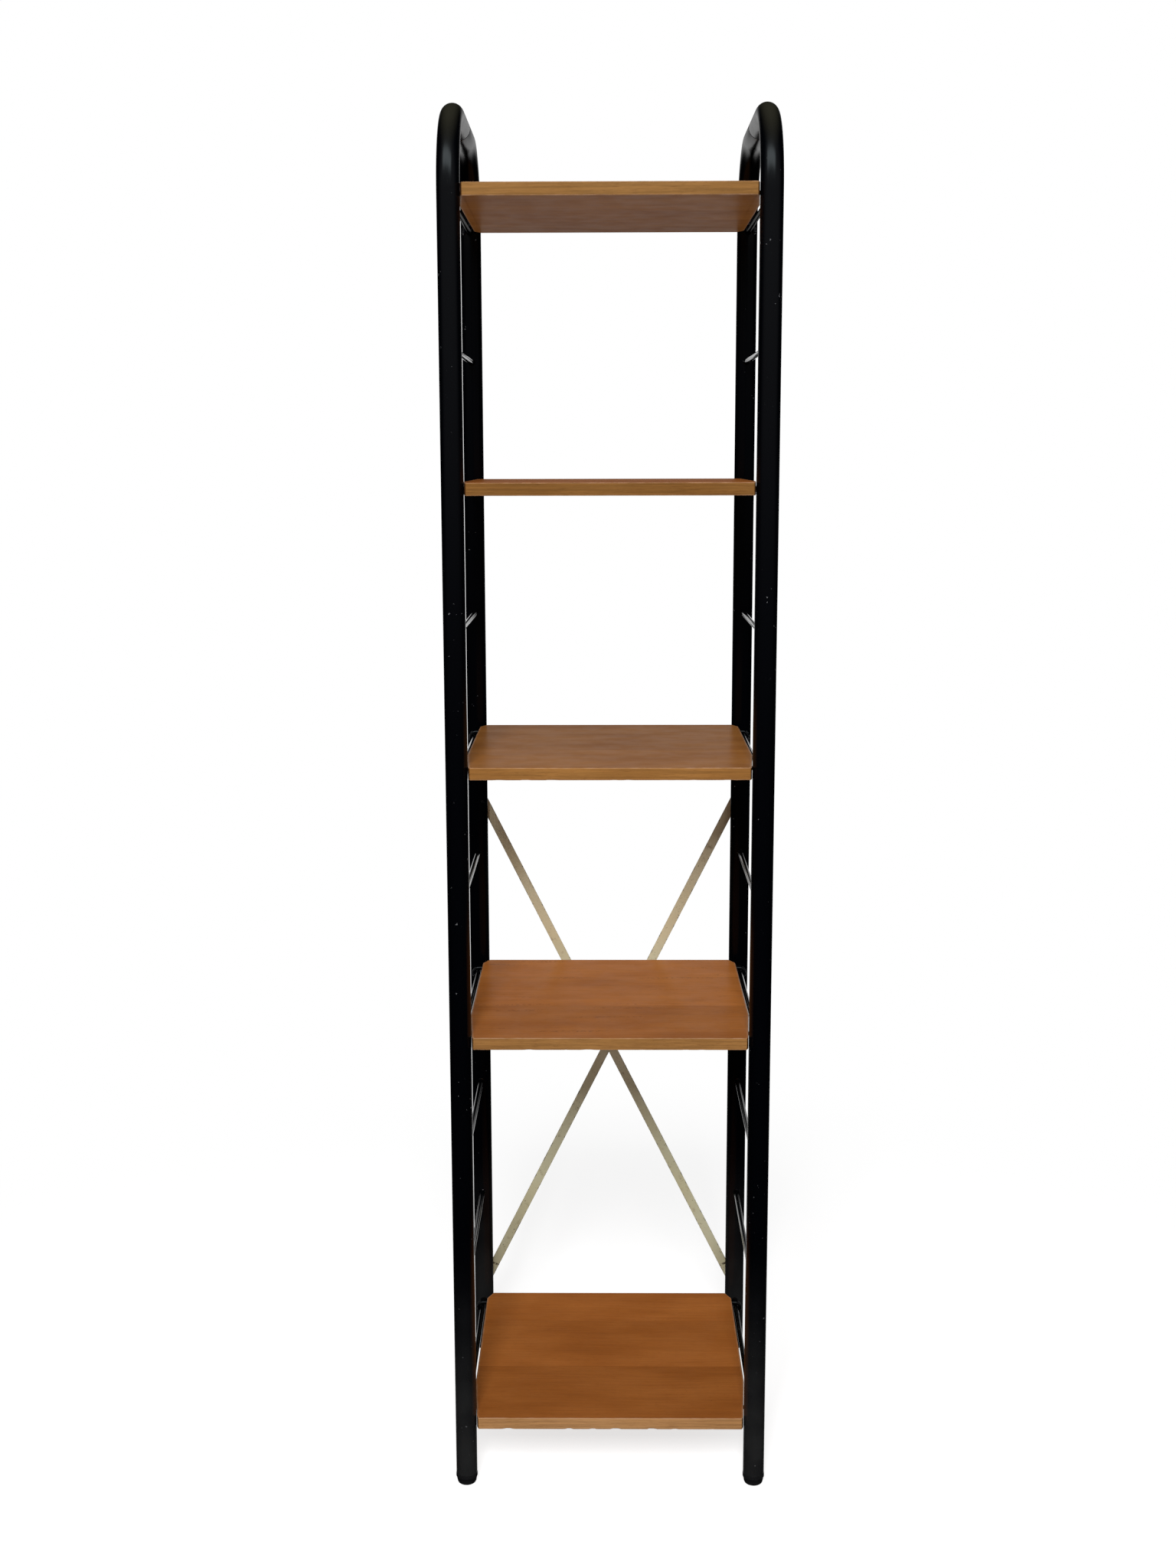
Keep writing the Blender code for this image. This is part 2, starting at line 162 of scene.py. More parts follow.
def start_group(name, inputs, outputs):
    """A shader group with float or vector inputs and float outputs. Gives the group and its two ends."""
    tree = bpy.data.node_groups.new(name, "ShaderNodeTree")
    for label, kind in inputs.items():
        tree.interface.new_socket(label, in_out="INPUT", socket_type=kind)
    for label in outputs:
        tree.interface.new_socket(label, in_out="OUTPUT", socket_type="NodeSocketFloat")
    return tree, tree.nodes.new("NodeGroupInput").outputs, tree.nodes.new("NodeGroupOutput").inputs


def use_group(tree, group, inputs):
    return add_node(tree, "ShaderNodeGroup", inputs, node_tree=group).outputs


def start_material(name):
    """A material, its node tree, its shader and the place on the object."""
    material = bpy.data.materials.new(name)
    material.use_nodes = True
    tree = material.node_tree
    place = add_node(tree, "ShaderNodeTexCoord").outputs["Object"]
    return material, tree, tree.nodes["Principled BSDF"], place


def set_bump(tree, shader, height, strength, distance):
    bump = add_node(tree, "ShaderNodeBump", {"Strength": strength, "Distance": distance, "Height": height})
    feed(tree, shader.inputs["Normal"], bump.outputs[0])


scattered_marks, group_in, group_out = start_group(
    "scattered_marks",
    {"Vector": "NodeSocketVector", "Scale": "NodeSocketFloat", "Level": "NodeSocketFloat"},
    ["Mask"],
)
mark_spots = cloud(scattered_marks, group_in["Vector"], group_in["Scale"], MARK_DETAIL, MARK_ROUGHNESS)
mark_edge = calculate(scattered_marks, "ADD", group_in["Level"], MARK_SOFTNESS)
mark_spots = ease(scattered_marks, mark_spots, group_in["Level"], mark_edge)
mark_patch_scale = calculate(scattered_marks, "MULTIPLY", group_in["Scale"], MARK_PATCH_SCALE)
mark_patches = cloud(scattered_marks, group_in["Vector"], mark_patch_scale)
mark_patches = ease(scattered_marks, mark_patches, *MARK_PATCH_EDGES)
feed(scattered_marks, group_out["Mask"], calculate(scattered_marks, "MULTIPLY", mark_spots, mark_patches))

paint_ripple, group_in, group_out = start_group("paint_ripple", {"Vector": "NodeSocketVector"}, ["Height"])
ripple_peel = cloud(paint_ripple, group_in["Vector"], RIPPLE_PEEL, RIPPLE_DETAIL)
ripple_wave = cloud(paint_ripple, group_in["Vector"], RIPPLE_WAVES, RIPPLE_DETAIL)
ripple_height = calculate(paint_ripple, "MULTIPLY_ADD", ripple_wave, RIPPLE_WAVE_PART, ripple_peel)
feed(paint_ripple, group_out["Height"], ripple_height)

# Low is dust near the floor; the second output is a light olive painted highlight on the arch tops' upward
# faces.
enamel_dust_and_highlight, group_in, group_out = start_group(
    "enamel_dust_and_highlight", {"Vector": "NodeSocketVector", "Normal": "NodeSocketVector"}, ["Low", "Painted_highlight"]
)
dust_and_highlight_height = part_of(enamel_dust_and_highlight, group_in["Vector"], "Z")
dust_low = ease(enamel_dust_and_highlight, dust_and_highlight_height, *DUST_RISE)
dust_patches = cloud(enamel_dust_and_highlight, group_in["Vector"], DUST_PATCHES)
dust_patches = ease(enamel_dust_and_highlight, dust_patches, *CLOUD_EDGES, *DUST_SHARE)
feed(enamel_dust_and_highlight, group_out["Low"], calculate(enamel_dust_and_highlight, "MULTIPLY", dust_low, dust_patches))
highlight_facing_up = ease(enamel_dust_and_highlight, part_of(enamel_dust_and_highlight, group_in["Normal"], "Z"), *ARCH_HIGHLIGHT_SLOPE)
highlight_on_arch = ease(enamel_dust_and_highlight, dust_and_highlight_height, *ARCH_HIGHLIGHT_RISE)
feed(enamel_dust_and_highlight, group_out["Painted_highlight"], calculate(enamel_dust_and_highlight, "MULTIPLY", highlight_facing_up, highlight_on_arch))


def marks_on(tree, place, scale, level):
    """Scattered marks: the scale says how many fit in a metre, and a higher level leaves fewer of them."""
    return use_group(tree, scattered_marks, {"Vector": place, "Scale": scale, "Level": level})["Mask"]


def black_enamel(name, dusty, marks, blur, shine, leg_shine):
    """Near-black glossy stoved enamel: dusty low down, small pale scuffs, a painted highlight on the arches.

    The gloss goes from leg_shine on what is below the arches to shine on the arches.
    """
    material, tree, shader, place = start_material(name)
    normal = add_node(tree, "ShaderNodeNewGeometry").outputs["Normal"]
    # The arches' upward faces get the painted highlight, which also dulls their gloss.
    dust_and_highlight = use_group(tree, enamel_dust_and_highlight, {"Vector": place, "Normal": normal})
    scuff = marks_on(tree, place, *marks)
    colour = tint(tree, dust_and_highlight["Low"], ENAMEL_BLACK, dusty)
    colour = tint(tree, dust_and_highlight["Painted_highlight"], colour, ENAMEL_PAINTED_HIGHLIGHT)
    feed(tree, shader.inputs["Base Color"], tint(tree, scuff, colour, ENAMEL_SCUFF))
    wear_and_highlight = calculate(tree, "MAXIMUM", scuff, calculate(tree, "MULTIPLY", dust_and_highlight["Low"], DUST_DULLS))
    wear_and_highlight = calculate(tree, "MAXIMUM", wear_and_highlight, dust_and_highlight["Painted_highlight"])
    gloss = ease(tree, part_of(tree, place, "Z"), *ARCH_RISE, leg_shine, shine)
    worn_gloss = calculate(tree, "MULTIPLY", gloss, blend(tree, wear_and_highlight, *GLOSS_WORN))
    feed(tree, shader.inputs["Coat Weight"], worn_gloss)
    shader.inputs["Roughness"].default_value = ENAMEL_ROUGHNESS
    shader.inputs["Specular IOR Level"].default_value = 0.0
    shader.inputs["Coat Roughness"].default_value = blur
    ripple = use_group(tree, paint_ripple, {"Vector": place})["Height"]
    set_bump(tree, shader, ripple, *ENAMEL_BUMP)
    return material


def edges_among(bm, verts):
    kept = set(verts)
    return [edge for edge in bm.edges if edge.verts[0] in kept and edge.verts[1] in kept]


def verts_in(geometry):
    return [item for item in geometry if isinstance(item, bmesh.types.BMVert)]


def start_ring(bm, sides, radius, centre, normal):
    """A circle of edges, from which a round bar or a tube is drawn out."""
    facing = Vector((0, 0, 1)).rotation_difference(Vector(normal)).to_matrix().to_4x4()
    matrix = Matrix.Translation(centre) @ facing
    return bmesh.ops.create_circle(bm, segments=sides, radius=radius, matrix=matrix)["verts"]


def draw_out(bm, ring, step, scale=1.0):
    """Extrudes a ring by a step, widens or narrows it about its centre, and gives the new ring."""
    ring = verts_in(bmesh.ops.extrude_edge_only(bm, edges=edges_among(bm, ring))["geom"])
    bmesh.ops.translate(bm, verts=ring, vec=step)
    centre = sum((vert.co for vert in ring), Vector()) / len(ring)
    bmesh.ops.scale(bm, verts=ring, vec=(scale,) * 3, space=Matrix.Translation(-centre))
    return ring


def bend_round(bm, ring, centre, axis, angle, steps):
    """Sweeps a ring round a bend and gives the ring at its end."""
    geometry = list(ring) + edges_among(bm, ring)
    turned = bmesh.ops.spin(bm, geom=geometry, cent=centre, axis=axis, angle=angle, steps=steps)
    return verts_in(turned["geom_last"])


def soften(bm, edges, offset, segments):
    return bmesh.ops.bevel(
        bm, geom=edges, offset=offset, segments=segments, profile=0.5, affect="EDGES", material=-1
    )


def shade_round(faces):
    for face in faces:
        face.smooth = True


def add_piece(name, bm, materials, body, node):
    """Makes a finished bmesh the piece that stands for a CAD node and rides on its body."""
    bmesh.ops.recalc_face_normals(bm, faces=bm.faces)
    mesh = bpy.data.meshes.new(name)
    bm.to_mesh(mesh)
    bm.free()
    mesh.set_sharp_from_angle(angle=SMOOTH_ANGLE)
    for material in materials:
        mesh.materials.append(material)
    piece = bpy.data.objects.new(name, mesh)
    bpy.context.scene.collection.objects.link(piece)
    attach(piece, body)
    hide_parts(node)
    return piece


def tube_shape(across, along):
    """One tube: foot, leg, bend and the run to the seam, with a blind bore where the next piece goes in."""
    bm = bmesh.new()
    x = across * TUBE_X
    leg_y = LADDER_Y + along * HALF_DEPTH
    inward = Vector((0, -along, 0))
    ring = start_ring(bm, TUBE_SIDES, BORE_RADIUS, (x, leg_y, TUBE_FOOT_Z + FOOT_BORE_DEPTH), (0, 0, 1))
    ring = draw_out(bm, ring, (0, 0, -FOOT_BORE_DEPTH))
    foot_rim = ring = draw_out(bm, ring, (0, 0, 0), TUBE_RADIUS / BORE_RADIUS)
    ring = draw_out(bm, ring, (0, 0, BEND_Z - TUBE_FOOT_Z))
    bend_centre = (x, leg_y - along * BEND_RADIUS, BEND_Z)
    ring = bend_round(bm, ring, bend_centre, (1, 0, 0), along * math.pi / 2, BEND_STEPS)
    seam_rim = ring = draw_out(bm, ring, inward * (HALF_DEPTH - BEND_RADIUS - SEAM_GAP / 2))
    painted = set(bm.faces)
    if along < 0:
        ring = draw_out(bm, ring, (0, 0, 0), SPIGOT_RADIUS / TUBE_RADIUS)
        draw_out(bm, ring, inward * (SEAM_GAP + SPIGOT_LENGTH))
    else:
        ring = draw_out(bm, ring, (0, 0, 0), BORE_RADIUS / TUBE_RADIUS)
        draw_out(bm, ring, -inward * (SEAM_GAP + SPIGOT_LENGTH))
    bmesh.ops.holes_fill(bm, edges=bm.edges)
    for face in bm.faces:
        face.material_index = 0 if face in painted else 1
    soften(bm, edges_among(bm, foot_rim) + edges_among(bm, seam_rim), RIM_ROUND, RIM_ROUND_STEPS)
    shade_round(bm.faces)
    return bm


front_enamel = black_enamel("front_enamel", ENAMEL_DUSTY, TUBE_MARKS, TUBE_BLUR, TUBE_SHINE, TUBE_SHINE)
rear_enamel = black_enamel("rear_enamel", ENAMEL_DUSTY, TUBE_MARKS, TUBE_BLUR, TUBE_SHINE, REAR_LEG_SHINE)
tube_bare, tree, shader, place = start_material("tube_bare")
bare_patches = ease(tree, cloud(tree, place, BARE_PATCHES), *BARE_EDGES)
feed(tree, shader.inputs["Base Color"], tint(tree, bare_patches, BARE_DARK, BARE_LIGHT))
feed(tree, shader.inputs["Roughness"], blend(tree, bare_patches, *BARE_ROUGHNESS_SPAN))
shader.inputs["Specular IOR Level"].default_value = 0.0
for side, across in SIDES.items():
    for end, along in ENDS.items():
        bm = tube_shape(across, along)
        finishes = [front_enamel if along < 0 else rear_enamel, tube_bare]
        add_piece(f"tube_{side}_{end}", bm, finishes, "frame", f"{side}_{end}_tube")

# Rungs
# Twenty 8 mm round steel bars, ten in each ladder, cut to fit between the front and the rear tube, welded at
# both ends and enamelled with the frame, the top ones duller. The weld beads are left as they were laid.
RUNG_COUNT = 10
RUNG_RADIUS = 0.004
RUNG_SIDES = 28
WELD_ROOT = -0.0013
WELD_PROFILE = ((0.0003, 0.0055), (0.0009, 0.0050), (0.0016, 0.00445), (0.0023, 0.0041), (0.0028, 0.004))
WELD_LUMP = 0.00035
WELD_LUMPS = 420.0
RUNG_DUSTY = (0.003, 0.003, 0.003)
RUNG_MARKS = (260.0, 0.66)
RUNG_BLUR = 0.12
RUNG_SHINE = 0.85
TOP_RUNG_BLUR = 0.2
TOP_RUNG_SHINE = 0.18


def rung_shape(across, height):
    """A rung whose flared ends sink into the tubes' walls, with a lumpy bead round each."""
    bm = bmesh.new()
    half_length = HALF_DEPTH - TUBE_RADIUS
    stations = [(WELD_ROOT, WELD_PROFILE[0][1]), *WELD_PROFILE]
    run = [(y - half_length, radius) for y, radius in stations]
    run += [(-y, radius) for y, radius in reversed(run)]
    place, radius = run[0]
    ring = start_ring(bm, RUNG_SIDES, radius, (across * TUBE_X, LADDER_Y + place, height), (0, 1, 0))
    beads = list(ring)
    for next_place, next_radius in run[1:]:
        ring = draw_out(bm, ring, (0, next_place - place, 0), next_radius / radius)
        if next_radius > RUNG_RADIUS:
            beads += ring
        place, radius = next_place, next_radius
    for vert in beads:
        outward = Vector((vert.co.x - across * TUBE_X, 0, vert.co.z - height)).normalized()
        vert.co += outward * noise.noise(vert.co * WELD_LUMPS) * WELD_LUMP
    bmesh.ops.holes_fill(bm, edges=bm.edges)
    shade_round(bm.faces)
    return bm


rung_enamel = black_enamel("rung_enamel", RUNG_DUSTY, RUNG_MARKS, RUNG_BLUR, RUNG_SHINE, RUNG_SHINE)
top_rung_enamel = black_enamel(
    "top_rung_enamel", RUNG_DUSTY, RUNG_MARKS, TOP_RUNG_BLUR, TOP_RUNG_SHINE, TOP_RUNG_SHINE
)
for side, across in SIDES.items():
    for number in range(1, RUNG_COUNT + 1):
        rung_name = f"{side}_rung_{number:02}"
        rung_low, rung_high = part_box(rung_name)
        bm = rung_shape(across, (rung_low.z + rung_high.z) / 2)
        finish = top_rung_enamel if number == RUNG_COUNT else rung_enamel
        add_piece(f"rung_{side}_{number:02}", bm, [finish], "frame", rung_name)

# Feet
# Four moulded black plastic plugs. Each pushes into a tube's open end up to a thin collar, and the part that
# shows tapers to a rounded base, which the floor has scraped a little.
FOOT_SIDES = 48
FOOT_HEIGHT = 0.016
FOOT_COLLAR_HEIGHT = 0.005
FOOT_COLLAR_PROUD = 0.0004
FOOT_COLLAR_RADIUS = TUBE_RADIUS + FOOT_COLLAR_PROUD
FOOT_BASE_INSET = 0.0016
FOOT_BASE_RADIUS = TUBE_RADIUS - FOOT_BASE_INSET
FOOT_FILLET = 0.0042
FOOT_FILLET_STEPS = 7
FOOT_PLUG_RADIUS = 0.0142
FOOT_PLUG_TOP = 0.041
FOOT_PLUG_CHAMFER = 0.0015
FOOT_EDGE_ROUND = 0.0005
FOOT_BLACK = (0.0085, 0.0085, 0.0092)
FOOT_SCRAPED = (0.014, 0.014, 0.014)
FOOT_MARKS = (320.0, 0.6)
FOOT_RUB_RISE = (0.006, 0.0)
FOOT_RUB_PART = 0.5
FOOT_PATCHES = 240.0
FOOT_ROUGHNESS_SPAN = (0.5, 0.65)
FOOT_SPECULAR = 0.06
FOOT_PITS = 1900.0
FOOT_BUMP = (0.15, 0.0002)
MERGE_DISTANCE = 0.00001


def turned_shape(profile, sides):
    """A solid turned about Z from (radius, height) points that start and end on the axis."""
    bm = bmesh.new()
    verts = [bm.verts.new((radius, 0, height)) for radius, height in profile]
    edges = [bm.edges.new(pair) for pair in zip(verts, verts[1:])]
    bmesh.ops.spin(bm, geom=verts + edges, axis=(0, 0, 1), angle=math.tau, steps=sides, use_merge=True)
    bmesh.ops.remove_doubles(bm, verts=bm.verts, dist=MERGE_DISTANCE)
    shade_round(bm.faces)
    return bm


def foot_shape():
    """Plug, collar, then a taper down to a filleted base on the floor."""
    profile = [
        (0, FOOT_PLUG_TOP),
        (FOOT_PLUG_RADIUS - FOOT_PLUG_CHAMFER, FOOT_PLUG_TOP),
        (FOOT_PLUG_RADIUS, FOOT_PLUG_TOP - FOOT_PLUG_CHAMFER),
        (FOOT_PLUG_RADIUS, FOOT_HEIGHT),
        (FOOT_COLLAR_RADIUS - FOOT_EDGE_ROUND, FOOT_HEIGHT),
        (FOOT_COLLAR_RADIUS, FOOT_HEIGHT - FOOT_EDGE_ROUND),
        (FOOT_COLLAR_RADIUS, FOOT_HEIGHT - FOOT_COLLAR_HEIGHT + FOOT_EDGE_ROUND),
        (FOOT_COLLAR_RADIUS - FOOT_EDGE_ROUND, FOOT_HEIGHT - FOOT_COLLAR_HEIGHT),
    ]
    for step in range(FOOT_FILLET_STEPS + 1):
        angle = math.pi / 2 * step / FOOT_FILLET_STEPS
        radius = FOOT_BASE_RADIUS - FOOT_FILLET * (1 - math.cos(angle))
        profile.append((radius, FOOT_FILLET * (1 - math.sin(angle))))
    return turned_shape(profile + [(0, 0)], FOOT_SIDES)


foot_plastic, tree, shader, place = start_material("foot_plastic")
floor_rub = ease(tree, part_of(tree, place, "Z"), *FOOT_RUB_RISE)
floor_rub = calculate(tree, "MULTIPLY", floor_rub, FOOT_RUB_PART)
scrape = calculate(tree, "MAXIMUM", marks_on(tree, place, *FOOT_MARKS), floor_rub)
feed(tree, shader.inputs["Base Color"], tint(tree, scrape, FOOT_BLACK, FOOT_SCRAPED))
foot_patches = cloud(tree, place, FOOT_PATCHES)
feed(tree, shader.inputs["Roughness"], ease(tree, foot_patches, *CLOUD_EDGES, *FOOT_ROUGHNESS_SPAN))
shader.inputs["Specular IOR Level"].default_value = FOOT_SPECULAR
set_bump(tree, shader, cloud(tree, place, FOOT_PITS), *FOOT_BUMP)
for side, across in SIDES.items():
    for end, along in ENDS.items():
        bm = foot_shape()
        bmesh.ops.translate(bm, verts=bm.verts, vec=(across * TUBE_X, LADDER_Y + along * HALF_DEPTH, 0))
        add_piece(f"foot_{side}_{end}", bm, [foot_plastic], "frame", f"{side}_{end}_foot")

# Shelf boards
# Five 18 mm boards, faced with lacquered reddish-brown veneer laid in leaves, grain across the bookcase, and
# edged with a plainer golden band. Corners are clipped to clear the tubes, and side holes take the hooks.
BOARD_FRONT_HALF = 0.200
BOARD_FRONT_CLIP = (0.0022, 0.006)
BOARD_SIDE_SPARE = 0.0007
BOARD_FRONT_CORNER = 0.116
BOARD_REAR_ACROSS = 0.009
BOARD_REAR_DEEP = 0.020
BOARD_CORNER_ROUND = 0.0015
BOARD_CORNER_STEPS = 3
BOARD_EDGE_ROUND = 0.0012
BOARD_EDGE_STEPS = 4
SHEET_NORMAL_Z = 0.999
VENEER_NORMAL_Z = 0.9
SIDE_NORMAL_X = 0.6
RIM_REACH = 0.002
RIM_HIGHLIGHT_BAND = 0.9 * BOARD_EDGE_ROUND
HOOK_RADIUS = 0.003
HOOK_HOLE_RADIUS = 0.0033
HOOK_HOLE_DEPTH = 0.0303
HOOK_HOLE_SIDES = 24
HOOK_SETBACK = 0.024
HOOK_Y = HALF_DEPTH - TUBE_RADIUS - HOOK_SETBACK
CHIP_SPACING = 0.004
CHIP_DEPTH = 0.0016
CHIP_LEVEL = 0.12
CHIP_STEEPNESS = 4
CHIP_REACH = 0.003
CHIP_EDGE = 1.5 * BOARD_EDGE_ROUND
CHIP_SCALE = 55.0
SEAM_FRONT_Y = -0.069
SEAM_REAR_Y = 0.089
SEAM_HALF_WIDTH = 0.0004
SEAM_DARKNESS = 0.35
LEAF_SHIFT_X = 0.83
LEAF_SHIFT_Y = 0.31
WOOD_DARK = (0.300, 0.094, 0.019)
WOOD_LIGHT = (0.375, 0.128, 0.030)
WOOD_PORE = (0.150, 0.044, 0.010)
WOOD_SEAM = (0.10, 0.03, 0.01)
# A pale painted highlight along the boards' eased edges.
WOOD_EDGE_HIGHLIGHT = (0.47, 0.27, 0.16)
WOOD_SPECK = (0.05, 0.02, 0.008)
WOOD_ROUGHNESS = 0.5
WOOD_BUMP = (0.08, 0.0003)
VENEER_FLECKS = 0.25
VENEER_STREAK_SPAN = (0.93, 1.07)
VENEER_MARKS = (330.0, 0.70)
VENEER_SPECKS = 0.6
# Dark brown painted shade on the boards' sides.
SIDE_PAINTED_SHADE = (0.070, 0.028, 0.010)
BAND_DARK = (0.90, 0.88, 0.84)
BAND_LIGHT = (1.10, 1.13, 1.18)
BAND_PORE = (0.55, 0.43, 0.42)
BAND_SHIFT = (0.5, 0.2)
BAND_FLECKS = 0.35
BAND_LINE_SPAN = (0.86, 1.14)
LACQUER_PATCHES = 30.0
LACQUER_SHARE = (0.8, 1.2)
LACQUER_BLUR = 0.32
EDGE_HIGHLIGHT_PATCHES = 60.0
EDGE_HIGHLIGHT_SHARE = (0.25, 0.65)
# The grain's noises, by the number of patches in a metre along, across and through the board.
GRAIN_SWAY = (2.2, 7.0, 7.0)
GRAIN_BANDS = (1.6, 26.0, 26.0)
GRAIN_MOTTLE = (7.0, 16.0, 16.0)
GRAIN_LINES = (7.0, 380.0, 380.0)
GRAIN_DASHES = (75.0, 1150.0, 1150.0)
CURL_ROWS = (6.0, 75.0, 75.0)
CURL_DASHES = (230.0, 260.0, 260.0)
GRAIN_SWAY_REACH = 0.03
GRAIN_MOTTLE_PART = 0.75
GRAIN_BAND_PART = 0.25
GRAIN_LINE_DETAIL = 4.0
GRAIN_LINE_ROUGHNESS = 0.65
GRAIN_DASH_EDGES = (0.56, 0.70)
GRAIN_DASH_DEPTH = -0.7
GRAIN_PLAIN_DETAIL = 1.0
CURL_ROW_EDGES = (0.62, 0.72)
CURL_DASH_EDGES = (0.48, 0.60)
# The five boards from the lowest up: tones of the front, middle and rear leaf, tint of the veneer, colour of
# the edge band, gloss of the lacquer, chips along the front, curl in the figure, and shift to its own grain.
# Some leaf tones also hold painted light, and some tints a painted sheen, as said by each board.
BOARDS = {
    # Board 1: middle and rear leaves lighter as a painted reflection.
    1: ((0.99, 1.12, 1.24), (1.00, 0.98, 0.89), (0.392, 0.199, 0.078), 0.15, 1.0, 0.10, 0.0),
    # Board 2: leaves lighter towards the rear as painted light.
    2: ((1.21, 1.42, 1.52), (0.98, 1.02, 0.99), (0.262, 0.122, 0.035), 0.32, 0.35, 0.40, 1.7),
    # Board 3: front leaf lighter as painted light, tint paled as a painted sheen.
    3: ((1.14, 1.05, 1.04), (0.94, 1.15, 1.27), (0.252, 0.112, 0.029), 0.26, 0.25, 0.15, 3.1),
    4: ((1.05, 1.05, 1.05), (1.00, 1.00, 1.00), (0.177, 0.080, 0.0215), 0.12, 0.2, 0.15, 4.6),
    # Board 5: tint paled as a painted sheen.
    5: ((1.10, 1.12, 1.10), (0.97, 1.18, 1.32), (0.220, 0.109, 0.034), 0.148, 0.15, 0.10, 6.2),
}


def moved(tree, vector, offset):
    return add_node(tree, "ShaderNodeVectorMath", {0: vector, 1: offset}, operation="ADD").outputs[0]


def drawn_cloud(tree, vector, patches, detail=2.0, roughness=0.5):
    """A noise that is drawn out along the grain, with so many patches a metre along each axis."""
    drawn = add_node(tree, "ShaderNodeVectorMath", {0: vector, 1: patches}, operation="MULTIPLY").outputs[0]
    return cloud(tree, drawn, 1.0, detail, roughness)


wood_grain, group_in, group_out = start_group(
    "wood_grain", {"Vector": "NodeSocketVector"}, ["Figure", "Lines", "Flecks", "Curl", "Height"]
)
grain_sway = drawn_cloud(wood_grain, group_in["Vector"], GRAIN_SWAY)
grain_sway = calculate(wood_grain, "MULTIPLY", grain_sway, GRAIN_SWAY_REACH)
grain_shift = add_node(wood_grain, "ShaderNodeCombineXYZ", {"Y": grain_sway}).outputs[0]
grain_place = moved(wood_grain, group_in["Vector"], grain_shift)
grain_bands = drawn_cloud(wood_grain, grain_place, GRAIN_BANDS)
grain_mottle = drawn_cloud(wood_grain, group_in["Vector"], GRAIN_MOTTLE)
grain_figure = calculate(wood_grain, "MULTIPLY", grain_mottle, GRAIN_MOTTLE_PART)
grain_figure = calculate(wood_grain, "MULTIPLY_ADD", grain_bands, GRAIN_BAND_PART, grain_figure)
feed(wood_grain, group_out["Figure"], ease(wood_grain, grain_figure, *CLOUD_EDGES))
grain_lines = drawn_cloud(wood_grain, grain_place, GRAIN_LINES, GRAIN_LINE_DETAIL, GRAIN_LINE_ROUGHNESS)
feed(wood_grain, group_out["Lines"], ease(wood_grain, grain_lines, *CLOUD_EDGES))
grain_dashes = drawn_cloud(wood_grain, grain_place, GRAIN_DASHES, GRAIN_PLAIN_DETAIL)
grain_dashes = ease(wood_grain, grain_dashes, *GRAIN_DASH_EDGES)
feed(wood_grain, group_out["Flecks"], grain_dashes)
curl_rows = drawn_cloud(wood_grain, grain_place, CURL_ROWS, GRAIN_PLAIN_DETAIL)
curl_rows = ease(wood_grain, curl_rows, *CURL_ROW_EDGES)
curl_dashes = ease(wood_grain, drawn_cloud(wood_grain, group_in["Vector"], CURL_DASHES), *CURL_DASH_EDGES)
feed(wood_grain, group_out["Curl"], calculate(wood_grain, "MULTIPLY", curl_rows, curl_dashes))
grain_height = calculate(wood_grain, "MULTIPLY_ADD", grain_dashes, GRAIN_DASH_DEPTH, grain_lines)
feed(wood_grain, group_out["Height"], grain_height)

uneven_lacquer, group_in, group_out = start_group(
    "uneven_lacquer", {"Vector": "NodeSocketVector", "Gloss": "NodeSocketFloat"}, ["Coat"]
)
lacquer_patches = cloud(uneven_lacquer, group_in["Vector"], LACQUER_PATCHES)
lacquer_patches = ease(uneven_lacquer, lacquer_patches, *CLOUD_EDGES, *LACQUER_SHARE)
lacquer_coat = calculate(uneven_lacquer, "MULTIPLY", lacquer_patches, group_in["Gloss"])
feed(uneven_lacquer, group_out["Coat"], lacquer_coat)

# The pale painted highlight, in patches along the eased edges.
painted_edge_highlight, group_in, group_out = start_group(
    "painted_edge_highlight", {"Vector": "NodeSocketVector", "Rim": "NodeSocketFloat"}, ["Share"]
)
edge_highlight_patches = cloud(painted_edge_highlight, group_in["Vector"], EDGE_HIGHLIGHT_PATCHES)
edge_highlight_patches = ease(painted_edge_highlight, edge_highlight_patches, *CLOUD_EDGES, *EDGE_HIGHLIGHT_SHARE)
feed(painted_edge_highlight, group_out["Share"], calculate(painted_edge_highlight, "MULTIPLY", group_in["Rim"], edge_highlight_patches))


def finish_wood(tree, shader, place, colour, height, gloss):
    """A thin, uneven satin lacquer that shows the pores, with a pale painted highlight along the eased edges.
    """
    rim = add_node(tree, "ShaderNodeAttribute", attribute_name="rim").outputs["Fac"]
    edge_highlight_share = use_group(tree, painted_edge_highlight, {"Vector": place, "Rim": rim})["Share"]
    feed(tree, shader.inputs["Base Color"], tint(tree, edge_highlight_share, colour, WOOD_EDGE_HIGHLIGHT))
    coat = use_group(tree, uneven_lacquer, {"Vector": place, "Gloss": gloss})["Coat"]
    feed(tree, shader.inputs["Coat Weight"], coat)
    shader.inputs["Roughness"].default_value = WOOD_ROUGHNESS
    shader.inputs["Specular IOR Level"].default_value = 0.0
    shader.inputs["Coat Roughness"].default_value = LACQUER_BLUR
    set_bump(tree, shader, height, *WOOD_BUMP)


def toned(tree, colour, tone):
    """A colour made lighter or darker by a tone about 1."""
    grey = add_node(tree, "ShaderNodeCombineColor", {0: tone, 1: tone, 2: tone}).outputs[0]
    return tint(tree, 1.0, colour, grey, "MULTIPLY")


